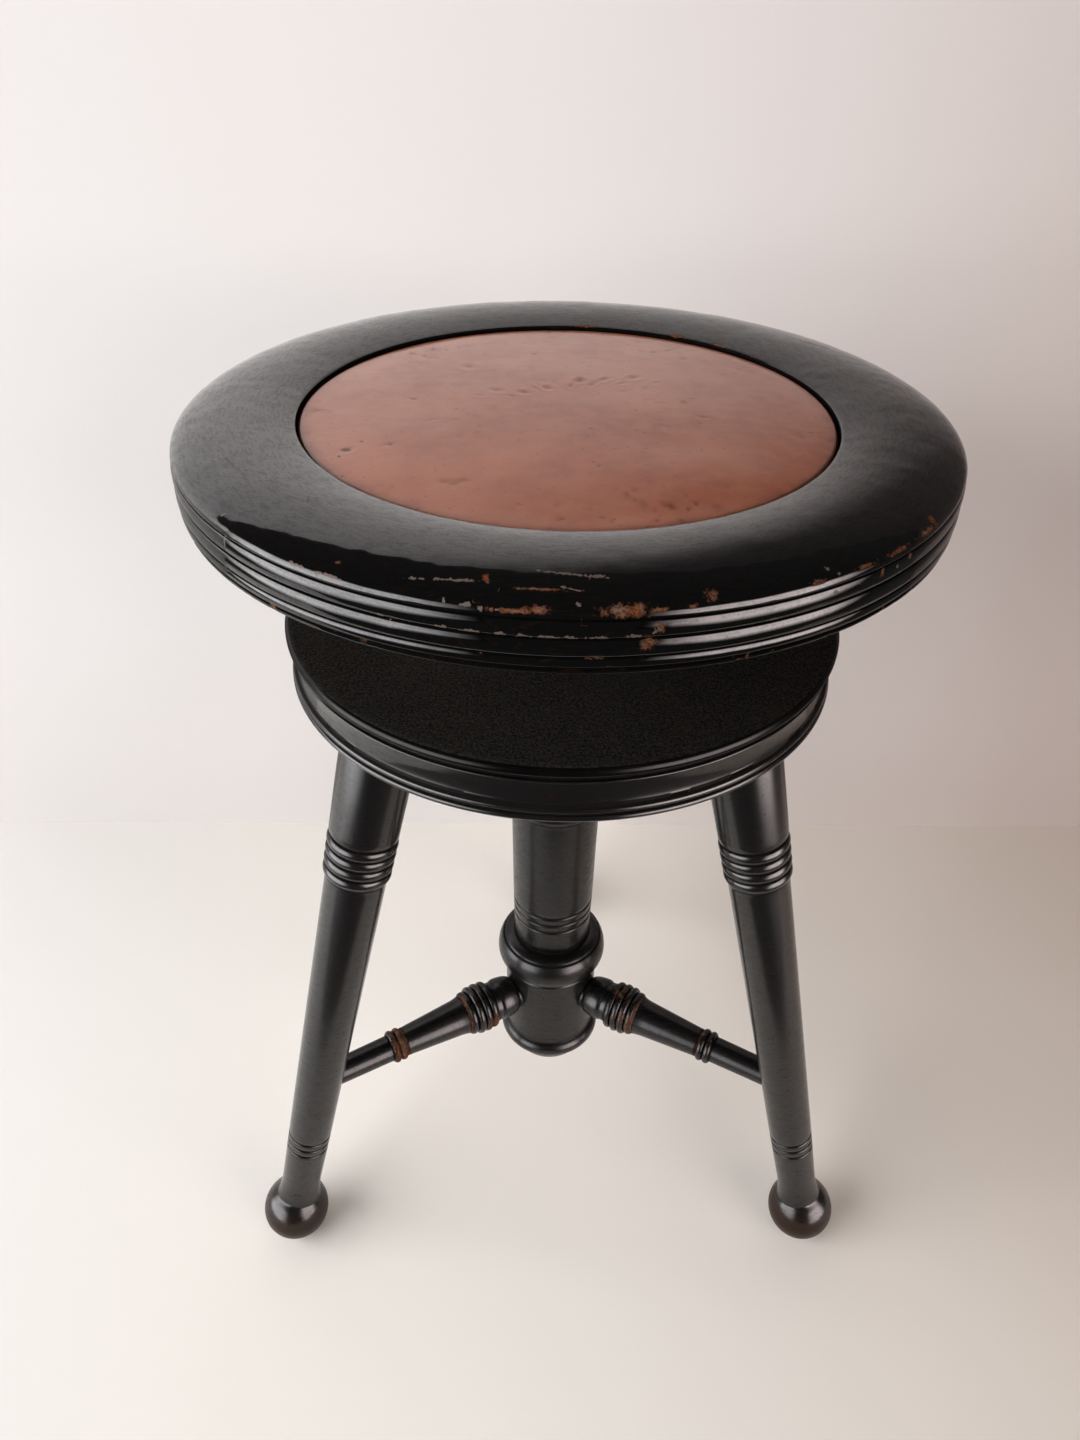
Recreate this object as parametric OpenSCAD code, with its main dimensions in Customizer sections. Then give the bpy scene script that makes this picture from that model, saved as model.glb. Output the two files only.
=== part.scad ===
// Revolving piano stool: a round seat on a screw that turns in a nut let into a three-legged turned stand.
// Heights are measured from the floor. The seat is drawn part way up its screw.

/* [Seat] */
// Diameter over the reeded edge of the seat ring
seat_d = 356; // [330:1:380]
// Width of the seat ring, from its edge to the opening that the leather pad fills
seat_ring_w = 54.5; // [50:0.5:62]
// Height from the underside of the seat ring to its sharp upper lip
seat_edge_h = 23.5; // [22:0.5:30]
// Rise of the rounded top of the ring above that lip
seat_crown_h = 8; // [5:0.5:12]
// Drop from the top of the ring to its edge beside the pad
seat_inner_drop = 3.2; // [1:0.2:5]
// Rounding of that inner edge
seat_inner_round = 1.2; // [0.6:0.2:2]
// Height of a full reed on the edge
reed_h = 7.4; // [6:0.1:8]
// Height of the small lowest reed
small_reed_h = 4.5; // [3.5:0.1:5]
// Depth of the quirks between the reeds
reed_depth = 2; // [1.4:0.1:3.5]
// Thickness of the sharp lip above the reeds
lip_t = 1.6; // [1:0.1:2.5]
// Thickness of the base board let into the underside of the ring
base_t = 12; // [10:0.5:14]
// Width of the rebate in the ring that takes the base board
base_lap = 16.5; // [14:0.5:24]

/* [Pad] */
// Thickness of the board under the stuffing
pad_board_t = 6; // [4:0.5:7]
// Thickness of the leather
leather_t = 1.4; // [1:0.1:2]
// Gap between the leather and the seat ring
pad_gap = 0.6; // [0.3:0.1:1]
// Depth of the edge of the pad below the edge of the ring
pad_sink = 2.6; // [1.5:0.1:4]
// Rise of the middle of the pad above its edge
pad_crown = 5; // [2:0.5:9]
// Rounding of the edge of the pad
pad_round = 4; // [2.5:0.5:5]

/* [Screw and nut] */
// Height of the seat underside above the stand, as the stool is drawn
seat_gap = 72; // [66:1:90]
// Outer diameter of the thread
screw_d = 22; // [18:1:25]
// Rise of the seat in one turn
screw_pitch = 8; // [7:0.5:10]
// Depth of the thread
thread_depth = 2; // [1.5:0.1:2.5]
// Rise of the seat from the drawn height to its stop
rise_up = 56; // [40:1:70]
// Diameter of the iron flange under the seat
flange_d = 92; // [80:1:110]
// Thickness of that flange
flange_t = 4; // [3:0.5:6]
// Diameter of the hub below the flange
hub_d = 36; // [32:1:42]
// Length of that hub
hub_h = 13.5; // [12:0.5:18]
// Diameter of the pin through the hub
hub_pin_d = 5; // [4:0.5:6]
// Diameter of the leather washer under the hub
washer_d = 42; // [38:1:50]
// Thickness of that washer
washer_t = 3; // [2:0.5:4]
// Diameter of the flange of the nut
nut_flange_d = 72; // [70:1:84]
// Thickness of the flange of the nut
nut_flange_t = 3; // [2.5:0.5:4]
// Diameter of the sleeve of the nut
nut_sleeve_d = 34; // [31:0.5:36]
// Length of the sleeve of the nut
nut_sleeve_l = 36; // [32:1:42]
// Diameter of the stop collar at the lower end of the screw
stop_d = 27; // [26:0.5:28]
// Height of that collar
stop_h = 8; // [6:0.5:12]
// Diameter of the pin through the collar
stop_pin_d = 3; // [2:0.5:3.5]

/* [Stand] */
// Height of the top of the stand
stand_h = 431; // [400:1:460]
// Diameter of the stand over its rounded edge
platform_d = 281.8; // [270:0.2:300]
// Thickness of the top board
top_board_t = 7; // [6:0.2:9]
// Thickness of the block that holds the legs
block_t = 23.8; // [22:0.2:28]
// Height of each of the two beads at the foot of the block
block_bead_h = 3.8; // [3:0.1:4.5]
// Depth of the hollow band round the block
band_depth = 3.2; // [2:0.1:4.5]

/* [Legs] */
// Distance from the middle of the stand to the middle of a foot
foot_reach = 196; // [185:1:210]
// Distance from the middle of the stand to the leg at the underside of the block
leg_top_reach = 100.2; // [96:0.2:104]
// Diameter of a leg at the block
leg_top_d = 41.6; // [38:0.2:44]
// Diameter of a leg just above its ball
leg_foot_d = 23.8; // [22:0.2:26]
// Diameter of the ball foot
ball_d = 40; // [36:0.5:44]
// Depth of the flat under each ball
ball_flat = 2.8; // [1.5:0.1:4]
// Height of the middle of the four reeds on a leg
leg_reeds_at = 308; // [290:1:320]
// Spacing of those reeds
leg_reed_pitch = 6.6; // [5:0.1:8]
// Height of the middle of the three lines above the foot
leg_lines_at = 86; // [75:1:100]
// Spacing of those lines
leg_line_pitch = 5.5; // [4:0.1:7]
// Diameter of the tenon on top of a leg
leg_tenon_d = 25; // [22:0.5:28]
// Depth of the kerf that takes the wedge
kerf_depth = 18; // [12:1:20]
// Thickness of the wedge at its head
wedge_t = 3.2; // [2.5:0.1:4]

/* [Column] */
// Diameter of the column at the block
column_top_d = 60.6; // [56:0.2:64]
// Diameter of the column above its knop
column_foot_d = 47.8; // [46:0.2:50]
// Diameter of the tenon in the block
column_tenon_d = 46; // [44:0.5:50]
// Diameter of the bore that the screw runs in
column_bore_d = 29; // [28.5:0.1:30]
// Height of the underside of the knop, where the boss begins
knop_foot_at = 160; // [150:1:170]
// Height of the knop
knop_h = 23; // [20:0.5:28]
// Diameter of the knop
knop_d = 69.6; // [64:0.2:76]
// Height of the middle of the four reeds on the column
column_reeds_at = 308; // [290:1:320]
// Height of the middle of the three lines on the column
column_lines_at = 210; // [200:1:225]
// Spacing of those lines
column_line_pitch = 6.3; // [5:0.1:8]

/* [Boss] */
// Diameter of the boss that the stretchers meet
boss_d = 59; // [56:0.2:62]
// Diameter of the rim at the foot of the boss
boss_rim_d = 66; // [64:0.2:70]
// Height of the top of that rim
boss_rim_at = 101; // [98:0.5:106]
// Height of the rim
boss_rim_h = 13.5; // [11:0.5:16]
// Drop of the dome below the rim
boss_dome_h = 20; // [12:0.5:24]
// Length of the spigot that enters the column
spigot_l = 24; // [16:1:30]

/* [Stretchers] */
// Height of the stretchers
stretcher_at = 135.5; // [132:0.5:138]
// Diameter of a stretcher over its reeds
stretcher_reed_d = 32; // [29:0.2:34]
// Diameter of the neck beside the boss
stretcher_neck_d = 27.4; // [24:0.2:28]
// Diameter of the thick end of the taper
stretcher_taper_d = 25.2; // [22:0.2:27]
// Diameter of the thin end, which the leg's socket takes
stretcher_end_d = 15.8; // [14:0.2:17]
// Diameter of the two rings
stretcher_ring_d = 20.8; // [19:0.2:23]
// Diameter of the tenon in the boss
stretcher_tenon_d = 14; // [12:0.5:15]

/* [Fasteners] */
// Diameter of the head of a wood screw
screw_head_d = 8; // [7:0.5:9]
// Diameter of its shank
screw_shank_d = 4; // [3:0.2:4.4]
// Width of the slot in its head
slot_w = 1.2; // [0.8:0.1:1.6]
// Depth of that slot
slot_depth = 1; // [0.6:0.1:1.4]
// Length of the screws through the seat base into the ring
ring_screw_l = 22; // [18:0.5:26]
// Length of the screws through the seat base into the pad board
pad_screw_l = 16.5; // [15:0.5:17]
// Length of the screws through the iron flange
flange_screw_l = 14; // [11:0.5:15]
// Length of the screws through the flange of the nut
nut_screw_l = 20; // [14:0.5:24]
// Length of the screws through the block into the top board
block_screw_l = 28; // [26:0.5:28.5]

/* [Hidden] */
$fn = 96;

// How far a cut runs past what it cuts
overrun = 2;
// Glue line round a tenon, and the same round a wood screw
glue = 0.1;
// Running clearances of the thread, across and along it
thread_slack = 0.45;
thread_slack_z = 0.3;
// Clearance left at either end of the travel
stop_slack = 0.5;
// Clearance between a spigot turned on the screw and the hole it is pinned in
spigot_slack = 0.05;

// Wood left between the tenon of the column and the screws of the nut
nut_screw_gap = 2.5;

// Legs stand at these angles, the rear one on +Y
leg_angles = [-150, -30, 90];
arc_steps = 10;
bead_steps = 6;
thread_sides = 16;
ring_screw_count = 8;
pad_screw_count = 4;
flange_screw_count = 4;
nut_screw_count = 4;
block_screw_count = 6;

seat_r = seat_d / 2;
opening_r = seat_r - seat_ring_w;
stand_r = platform_d / 2;
seat_z = stand_h + seat_gap;
base_r = opening_r + base_lap;
base_top = seat_z + base_t;
lip_z = seat_z + seat_edge_h;
crest_z = lip_z + seat_crown_h;
inner_edge_z = crest_z - seat_inner_drop;
block_top = stand_h - top_board_t;
block_z = block_top - block_t;
ball_r = ball_d / 2;
ball_z = ball_r - ball_flat;

// The origin lies on the floor under the middle of the whole stool, so the seat axis stands a little off it
reach_back = max(foot_reach + ball_r, seat_r);
reach_front = max(foot_reach * sin(30) + ball_r, seat_r);
axis_y = (reach_front - reach_back) / 2;

leg_lean = atan((foot_reach - leg_top_reach) / (block_z - ball_z));
leg_l = (block_z - ball_z) / cos(leg_lean);

hub_foot = seat_z - flange_t - hub_h;
washer_z = hub_foot - washer_t;
nut_top = stand_h + nut_flange_t;
nut_foot = stand_h - nut_sleeve_l;
stop_top = nut_foot - rise_up - stop_slack;
stop_z = stop_top - stop_h;
screw_core_r = screw_d / 2 - thread_depth;
hub_spigot_share = 0.93;
hub_spigot_r = screw_core_r * hub_spigot_share;
stop_spigot_share = 0.85;
stop_spigot_r = screw_core_r * stop_spigot_share;
bore_foot = knop_foot_at + spigot_l;

// Circles that the screws stand on
pad_screw_share = 0.73;
block_screw_share = 0.86;
ring_screw_r = opening_r + base_lap / 2;
pad_screw_r = opening_r * pad_screw_share;
flange_screw_r = (flange_d / 2 + hub_d / 2) / 2;
nut_screw_r = column_tenon_d / 2 + glue + nut_screw_gap + screw_shank_d / 2;
block_screw_r = stand_r * block_screw_share;

// Reeds turned on a tapering shaft: depth and bulge as shares of their spacing
reed_cut_share = 0.2;
reed_bulge_share = 0.28;

// Shapes that repeat

// Points on a stretch of an ellipse about (x, z), from angle a0 to a1
function bow(x, z, rx, rz, a0, a1, n) =
  [for (i = [0:n]) let (a = a0 + (a1 - a0) * i / n) [x + rx * cos(a), z + rz * sin(a)]];

// A half-round bead standing depth proud of radius r, from z down to z - h
function bead(r, z, h, depth) = bow(r, z - h / 2, depth, h / 2, 90, -90, bead_steps);

// A shallow groove cut into a tapering wall: radius r, middle z, width w
function groove(r, z, w, depth) = [[r, z + w / 2], [r - depth, z], [r, z - w / 2]];

// A reed on a tapering shaft, ending at height z where the shaft has radius r, pitch long
function shaft_reed(r, z, pitch) =
  bow(r - reed_cut_share * pitch, z - pitch / 2, reed_bulge_share * pitch, pitch / 2, -90, 90, bead_steps);

// Radius of a cone at height z, from (z0, r0) to (z1, r1)
function taper(z, z0, r0, z1, r1) = r0 + (r1 - r0) * (z - z0) / (z1 - z0);

module turned(outline) {
  rotate_extrude() polygon(outline);
}

module on_axis() {
  translate([0, axis_y, 0]) children();
}

// Copies round the axis
module round_axis(count, r, turn = 0) {
  for (i = [0:count - 1]) rotate([0, 0, turn + i * 360 / count]) translate([r, 0, 0]) children();
}

// A countersunk wood screw, head face at z = 0, pointing up
module wood_screw(l, slack = 0) {
  head_r = screw_head_d / 2 + slack;
  shank_r = screw_shank_d / 2 + slack;
  head_h = head_r - shank_r;
  point_l = screw_shank_d;
  difference() {
    union() {
      cylinder(r1 = head_r, r2 = shank_r, h = head_h);
      cylinder(r = shank_r, h = l - point_l + slack);
      translate([0, 0, l - point_l + slack]) cylinder(r1 = shank_r, r2 = slot_w / 4 + slack, h = point_l);
    }
    if (slack == 0)
      translate([-head_r - overrun, -slot_w / 2, -overrun])
        cube([2 * head_r + 2 * overrun, slot_w, slot_depth + overrun]);
  }
}

// The hole for that screw, open below its head
module wood_screw_hole(l) {
  wood_screw(l, glue);
  translate([0, 0, -overrun]) cylinder(r = screw_head_d / 2 + glue, h = overrun + glue / 2);
}

// Each group of holes has its own place, shared by the screws in it

module at_ring_screws() {
  translate([0, 0, seat_z]) round_axis(ring_screw_count, ring_screw_r, 180 / ring_screw_count) children();
}

module at_pad_screws() {
  translate([0, 0, seat_z]) round_axis(pad_screw_count, pad_screw_r, 180 / pad_screw_count) children();
}

module at_flange_screws() {
  translate([0, 0, seat_z - flange_t]) round_axis(flange_screw_count, flange_screw_r) children();
}

module at_nut_screws() {
  translate([0, 0, nut_top]) rotate([180, 0, 0])
    round_axis(nut_screw_count, nut_screw_r, 180 / nut_screw_count) children();
}

module at_block_screws() {
  translate([0, 0, block_z]) round_axis(block_screw_count, block_screw_r) children();
}

// Thread between two heights. grow makes it wider all round and grow_z longer along the axis, for the nut
module thread_form(z_low, z_high, grow = 0, grow_z = 0) {
  first = floor((z_low - seat_z) / screw_pitch) - 2;
  turns = ceil((z_high - z_low) / screw_pitch) + 4;
  steps = turns * thread_sides;
  root = screw_core_r + grow;
  crest = screw_d / 2 + grow;
  rise_shares = [0, 0.34, 0.46, 0.88];
  side = [
    [root, grow_z],
    [root, rise_shares[1] * screw_pitch - grow_z],
    [crest, rise_shares[2] * screw_pitch - grow_z],
    [crest, rise_shares[3] * screw_pitch + grow_z]
  ];
  wall = [
    for (i = [0:steps + thread_sides], p = side)
      let (a = 360 * i / thread_sides, z = seat_z + screw_pitch * (first + i / thread_sides))
      [p[0] * cos(a), p[0] * sin(a), z + p[1]]
  ];
  foot = len(wall);
  skin = [
    for (i = [0:steps - 1], j = [0:3])
      let (
        a = 4 * i + j,
        b = 4 * (i + 1) + j,
        up_a = j < 3 ? a + 1 : 4 * (i + thread_sides),
        up_b = j < 3 ? b + 1 : 4 * (i + 1 + thread_sides)
      )
      [a, up_a, up_b, b]
  ];
  low_edge = concat([for (i = [0:thread_sides]) 4 * i], [3, 2, 1]);
  high_edge = concat([for (i = [0:thread_sides]) 4 * (steps + i)], [for (j = [3, 2, 1]) 4 * steps + j]);
  low_cap = [
    for (i = [0:len(low_edge) - 1]) [foot, low_edge[i], low_edge[(i + 1) % len(low_edge)]]
  ];
  high_cap = [
    for (i = [0:len(high_edge) - 1]) [foot + 1, high_edge[(i + 1) % len(high_edge)], high_edge[i]]
  ];
  ends = [
    [0, 0, seat_z + screw_pitch * (first - 1)],
    [0, 0, seat_z + screw_pitch * (first + turns + 2)]
  ];
  polyhedron(points = concat(wall, ends), faces = concat(skin, low_cap, high_cap), convexity = 10);
}

// Seat

// Outline of the ring: rebate and wall inside, rounded crown, sharp lip, three reeds and a fillet outside
module seat_ring() {
  crest_share = 0.48;
  small_reed_share = 0.67;
  quirk_r = seat_r - reed_depth;
  lip_r = seat_r - reed_depth / 4;
  crest_r = opening_r + crest_share * (seat_r - opening_r);
  edge_r = opening_r + seat_inner_round;
  small_r = quirk_r + reed_depth / 4;
  reed1_z = lip_z - lip_t;
  reed2_z = reed1_z - reed_h;
  small_z = reed2_z - reed_h;
  fillet_z = small_z - small_reed_h;
  outline = concat(
    [[base_r, seat_z], [base_r, base_top], [opening_r, base_top]],
    bow(edge_r, inner_edge_z - seat_inner_round, seat_inner_round, seat_inner_round, 180, 115, bead_steps),
    [for (i = [1:arc_steps])
      let (share = i / arc_steps)
      [edge_r + share * (crest_r - edge_r), crest_z - seat_inner_drop * (1 - share) * (1 - share)]],
    bow(crest_r, lip_z, lip_r - crest_r, seat_crown_h, 84, 0, 2 * arc_steps),
    [[lip_r, reed1_z]],
    bead(quirk_r, reed1_z, reed_h, reed_depth),
    bead(quirk_r, reed2_z, reed_h, reed_depth),
    bead(quirk_r, small_z, small_reed_h, reed_depth * small_reed_share),
    [[small_r, fillet_z], [small_r, seat_z]]
  );
  color([0.05, 0.045, 0.045]) on_axis() difference() {
    turned(outline);
    at_ring_screws() wood_screw_hole(ring_screw_l);
  }
}

module seat_base() {
  color([0.42, 0.27, 0.16]) on_axis() difference() {
    translate([0, 0, seat_z]) cylinder(r = base_r - glue, h = base_t);
    at_ring_screws() wood_screw_hole(ring_screw_l);
    at_pad_screws() wood_screw_hole(pad_screw_l);
    at_flange_screws() wood_screw_hole(flange_screw_l);
  }
}

pad_r = opening_r - pad_gap;
pad_edge_z = inner_edge_z - pad_sink;
pad_core_r = pad_r - leather_t;

// Outline of the upholstered top, drawn in from the outside by t
function pad_outline(t) =
  let (r = pad_r - t, turn_z = pad_edge_z - pad_round, turn_r = pad_round - t, flat_r = r - turn_r)
  concat(
    bow(flat_r, turn_z, turn_r, turn_r, 0, 80, bead_steps),
    [for (i = [1:arc_steps])
      let (share = 1 - i / arc_steps)
      [flat_r * share, turn_z + turn_r + pad_crown * (1 - share * share)]]
  );

module pad_board() {
  color([0.55, 0.4, 0.25]) on_axis() difference() {
    translate([0, 0, base_top]) cylinder(r = pad_core_r - glue, h = pad_board_t);
    at_pad_screws() wood_screw_hole(pad_screw_l);
  }
}

module pad_stuffing() {
  color([0.8, 0.76, 0.66]) on_axis()
    turned(concat(
      [[0, base_top + pad_board_t], [pad_core_r - glue, base_top + pad_board_t]],
      pad_outline(leather_t + glue)
    ));
}

module leather_cover() {
  inner = pad_outline(leather_t);
  outer = pad_outline(0);
  color([0.48, 0.24, 0.16]) on_axis()
    turned(concat(
      [[pad_r, base_top]],
      outer,
      [for (i = [len(inner) - 1:-1:0]) inner[i]],
      [[pad_core_r, base_top]]
    ));
}

module ring_screws() {
  color([0.45, 0.42, 0.38]) on_axis() at_ring_screws() wood_screw(ring_screw_l);
}

module pad_screws() {
  color([0.45, 0.42, 0.38]) on_axis() at_pad_screws() wood_screw(pad_screw_l);
}

// Screw, flange and nut

module screw_flange() {
  rim_r = flange_t / 4;
  fillet_h = hub_h / 4;
  color([0.2, 0.19, 0.19]) on_axis() difference() {
    union() {
      translate([0, 0, seat_z - flange_t + rim_r]) cylinder(r = flange_d / 2, h = flange_t - rim_r);
      translate([0, 0, seat_z - flange_t])
        cylinder(r1 = flange_d / 2 - rim_r, r2 = flange_d / 2, h = rim_r);
      translate([0, 0, hub_foot]) cylinder(r = hub_d / 2, h = hub_h + rim_r);
      translate([0, 0, seat_z - flange_t - fillet_h])
        cylinder(r1 = hub_d / 2, r2 = hub_d / 2 + fillet_h, h = fillet_h);
    }
    translate([0, 0, hub_foot - overrun])
      cylinder(r = hub_spigot_r + spigot_slack, h = hub_h + flange_t + 2 * overrun);
    hub_pin_hole(hub_pin_d / 2 + spigot_slack);
    at_flange_screws() wood_screw_hole(flange_screw_l);
  }
}

module hub_pin_hole(r) {
  translate([-hub_d, 0, hub_foot + hub_h / 2]) rotate([0, 90, 0]) cylinder(r = r, h = 2 * hub_d);
}

module hub_pin() {
  color([0.3, 0.29, 0.28]) on_axis() translate([-hub_d / 2, 0, hub_foot + hub_h / 2])
    rotate([0, 90, 0]) cylinder(r = hub_pin_d / 2, h = hub_d);
}

module flange_screws() {
  color([0.35, 0.33, 0.31]) on_axis() at_flange_screws() wood_screw(flange_screw_l);
}

// Threaded from the hub to the stop collar, with a plain spigot at each end
module seat_screw() {
  tip_l = thread_depth;
  color([0.36, 0.34, 0.33]) on_axis() difference() {
    union() {
      intersection() {
        thread_form(stop_top, hub_foot);
        translate([0, 0, stop_top]) cylinder(r = screw_d, h = hub_foot - stop_top);
      }
      translate([0, 0, hub_foot - screw_pitch])
        cylinder(r = hub_spigot_r, h = screw_pitch + hub_h + flange_t);
      translate([0, 0, stop_z - tip_l]) cylinder(r = stop_spigot_r, h = stop_h + tip_l + screw_pitch);
    }
    hub_pin_hole(hub_pin_d / 2 + spigot_slack);
    stop_pin_hole(stop_pin_d / 2 + spigot_slack);
  }
}

module stop_pin_hole(r) {
  translate([-stop_d, 0, stop_z + stop_h / 2]) rotate([0, 90, 0]) cylinder(r = r, h = 2 * stop_d);
}

module stop_collar() {
  color([0.3, 0.29, 0.28]) on_axis() difference() {
    translate([0, 0, stop_z]) cylinder(r = stop_d / 2, h = stop_h);
    translate([0, 0, stop_z - overrun])
      cylinder(r = stop_spigot_r + spigot_slack, h = stop_h + 2 * overrun);
    stop_pin_hole(stop_pin_d / 2 + spigot_slack);
  }
}

module stop_pin() {
  color([0.4, 0.38, 0.36]) on_axis() translate([-stop_d / 2, 0, stop_z + stop_h / 2])
    rotate([0, 90, 0]) cylinder(r = stop_pin_d / 2, h = stop_d);
}

module buffer_washer() {
  color([0.35, 0.25, 0.16]) on_axis() difference() {
    translate([0, 0, washer_z]) cylinder(r = washer_d / 2, h = washer_t);
    translate([0, 0, washer_z - overrun])
      cylinder(r = screw_d / 2 + spigot_slack, h = washer_t + 2 * overrun);
  }
}

module threaded_nut() {
  color([0.28, 0.26, 0.25]) on_axis() difference() {
    union() {
      translate([0, 0, stand_h]) cylinder(r = nut_flange_d / 2, h = nut_flange_t);
      translate([0, 0, nut_foot]) cylinder(r = nut_sleeve_d / 2, h = nut_sleeve_l + nut_flange_t / 2);
    }
    intersection() {
      thread_form(nut_foot, nut_top, thread_slack, thread_slack_z);
      translate([0, 0, nut_foot - overrun])
        cylinder(r = screw_d, h = nut_top - nut_foot + 2 * overrun);
    }
    at_nut_screws() wood_screw_hole(nut_screw_l);
  }
}

module nut_screws() {
  color([0.35, 0.33, 0.31]) on_axis() at_nut_screws() wood_screw(nut_screw_l);
}

// Stand

// Top board with a rounded edge
module platform_top() {
  nose_share = 0.46;
  nose_r = top_board_t * nose_share;
  under_r = stand_r - nose_r;
  color([0.05, 0.045, 0.045]) on_axis() difference() {
    turned(concat(
      [[0, block_top], [under_r, block_top]],
      bow(stand_r - nose_r, stand_h - nose_r, nose_r, nose_r, -90, 90, 2 * bead_steps),
      [[0, stand_h]]
    ));
    translate([0, 0, nut_foot]) cylinder(r = nut_sleeve_d / 2 + glue, h = nut_sleeve_l + overrun);
    at_nut_screws() wood_screw_hole(nut_screw_l);
    at_block_screws() wood_screw_hole(block_screw_l);
  }
}

// Block with a thin bead, a hollow band and two beads round its edge
module leg_block() {
  bead_depth = block_bead_h / 2;
  thin_bead_share = 0.45;
  thin_h = block_bead_h * thin_bead_share;
  quirk_h = thin_h / 2;
  low_r = stand_r - bead_depth - quirk_h;
  high_r = low_r - bead_depth / 4;
  band_r = stand_r - band_depth;
  band_low = block_z + 2 * block_bead_h;
  band_high = block_top - 2 * quirk_h - thin_h;
  hollow = band_depth / 4;
  outline = concat(
    [[0, block_z], [low_r, block_z]],
    bow(low_r, block_z + block_bead_h / 2, bead_depth, block_bead_h / 2, -90, 90, bead_steps),
    bow(high_r, block_z + block_bead_h * 3 / 2, bead_depth, block_bead_h / 2, -90, 90, bead_steps),
    [for (i = [0:arc_steps])
      let (share = i / arc_steps)
      [band_r - hollow * sin(180 * share), band_low + share * (band_high - band_low)]],
    bow(band_r, band_high + quirk_h + thin_h / 2, thin_h, thin_h / 2, -90, 90, bead_steps),
    [[band_r, block_top], [0, block_top]]
  );
  color([0.05, 0.045, 0.045]) on_axis() difference() {
    turned(outline);
    translate([0, 0, block_z - overrun])
      cylinder(r = column_tenon_d / 2 + glue, h = block_t + 2 * overrun);
    for (a = leg_angles) leg_place(a) cylinder(r = leg_tenon_d / 2 + glue, h = leg_l + 3 * block_t);
    at_nut_screws() wood_screw_hole(nut_screw_l);
    at_block_screws() wood_screw_hole(block_screw_l);
  }
}

module block_screws() {
  color([0.45, 0.42, 0.38]) on_axis() at_block_screws() wood_screw(block_screw_l);
}

// Legs

// Puts a leg drawn upright with its ball at the origin in its place
module leg_place(a) {
  rotate([0, 0, a]) translate([foot_reach, 0, ball_z]) rotate([0, -leg_lean, 0]) children();
}

function leg_u(z) = (z - ball_z) / cos(leg_lean);
function leg_r(u) = taper(u, ball_r, leg_foot_d / 2, leg_l, leg_top_d / 2);

// Turned shaft: ball, small cove above it, three scribed lines, long taper, four reeds, long taper
module leg_turning() {
  flare_share = 0.16;
  cove_share = 0.9;
  line_share = 0.36;
  neck_r = leg_foot_d / 2;
  flare = neck_r * flare_share;
  cove_l = ball_r * cove_share;
  neck_u = sqrt(ball_r * ball_r - (neck_r + flare) * (neck_r + flare));
  line_w = leg_line_pitch * line_share;
  line_depth = line_w / 2;
  top_u = leg_l + leg_top_d;
  lines = [for (k = [-1:1]) leg_u(leg_lines_at) + k * leg_line_pitch];
  reeds = [for (k = [-2:1]) leg_u(leg_reeds_at) + (k + 1) * leg_reed_pitch];
  ball_a = atan2(neck_u, neck_r + flare);
  outline = concat(
    [[0, -ball_r]],
    bow(0, 0, ball_r, ball_r, -88, ball_a, 3 * arc_steps),
    [for (i = [1:bead_steps])
      let (share = i / bead_steps)
      [leg_r(neck_u + share * cove_l) + flare * (1 - share) * (1 - share), neck_u + share * cove_l]],
    [for (u = lines, p = groove(leg_r(u), u, -line_w, line_depth)) p],
    [for (u = reeds, p = shaft_reed(leg_r(u - leg_reed_pitch / 2), u, leg_reed_pitch)) p],
    [[leg_r(reeds[3] + leg_reed_pitch / 4), reeds[3] + leg_reed_pitch / 4],
     [leg_r(top_u), top_u], [0, top_u]]
  );
  turned(outline);
}

stretcher_end_r = stretcher_end_d / 2;
leg_reach_here = foot_reach - (stretcher_at - ball_z) * tan(leg_lean);
leg_r_here = leg_r(leg_u(stretcher_at));
socket_share = 0.65;
stretcher_shoulder = leg_reach_here - leg_r_here;
stretcher_tip = stretcher_shoulder + leg_r_here * socket_share;

// The wedge in its kerf, and the kerf itself when slack is given
module wedge(slack = 0) {
  head_u = leg_l + block_t + block_t / 2;
  foot_t = wedge_t / 3;
  tip_u = leg_l + block_t / cos(leg_lean) - kerf_depth;
  wide = leg_tenon_d + 2 * overrun;
  translate([0, wide / 2, 0]) rotate([90, 0, 0]) linear_extrude(height = wide)
    polygon([
      [-foot_t / 2 - slack, tip_u - slack], [foot_t / 2 + slack, tip_u - slack],
      [wedge_t / 2 + slack, head_u], [-wedge_t / 2 - slack, head_u]
    ]);
}

module leg(a) {
  span = 2 * (foot_reach + ball_d);
  color([0.05, 0.045, 0.045]) on_axis() difference() {
    union() {
      difference() {
        leg_place(a) leg_turning();
        translate([-span / 2, -span / 2, block_z]) cube([span, span, stand_h]);
      }
      difference() {
        intersection() {
          leg_place(a) translate([0, 0, leg_l - leg_top_d])
            cylinder(r = leg_tenon_d / 2, h = leg_top_d + 3 * block_t);
          translate([-span / 2, -span / 2, block_z - overrun]) cube([span, span, block_t + overrun]);
        }
        leg_place(a) wedge(glue);
      }
    }
    translate([-span / 2, -span / 2, -ball_d]) cube([span, span, ball_d]);
    rotate([0, 0, a]) translate([0, 0, stretcher_at]) rotate([0, 90, 0])
      cylinder(r = stretcher_end_r + glue, h = stretcher_tip + glue);
  }
}

module leg_left() {
  leg(leg_angles[0]);
}

module leg_right() {
  leg(leg_angles[1]);
}

module leg_rear() {
  leg(leg_angles[2]);
}

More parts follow.
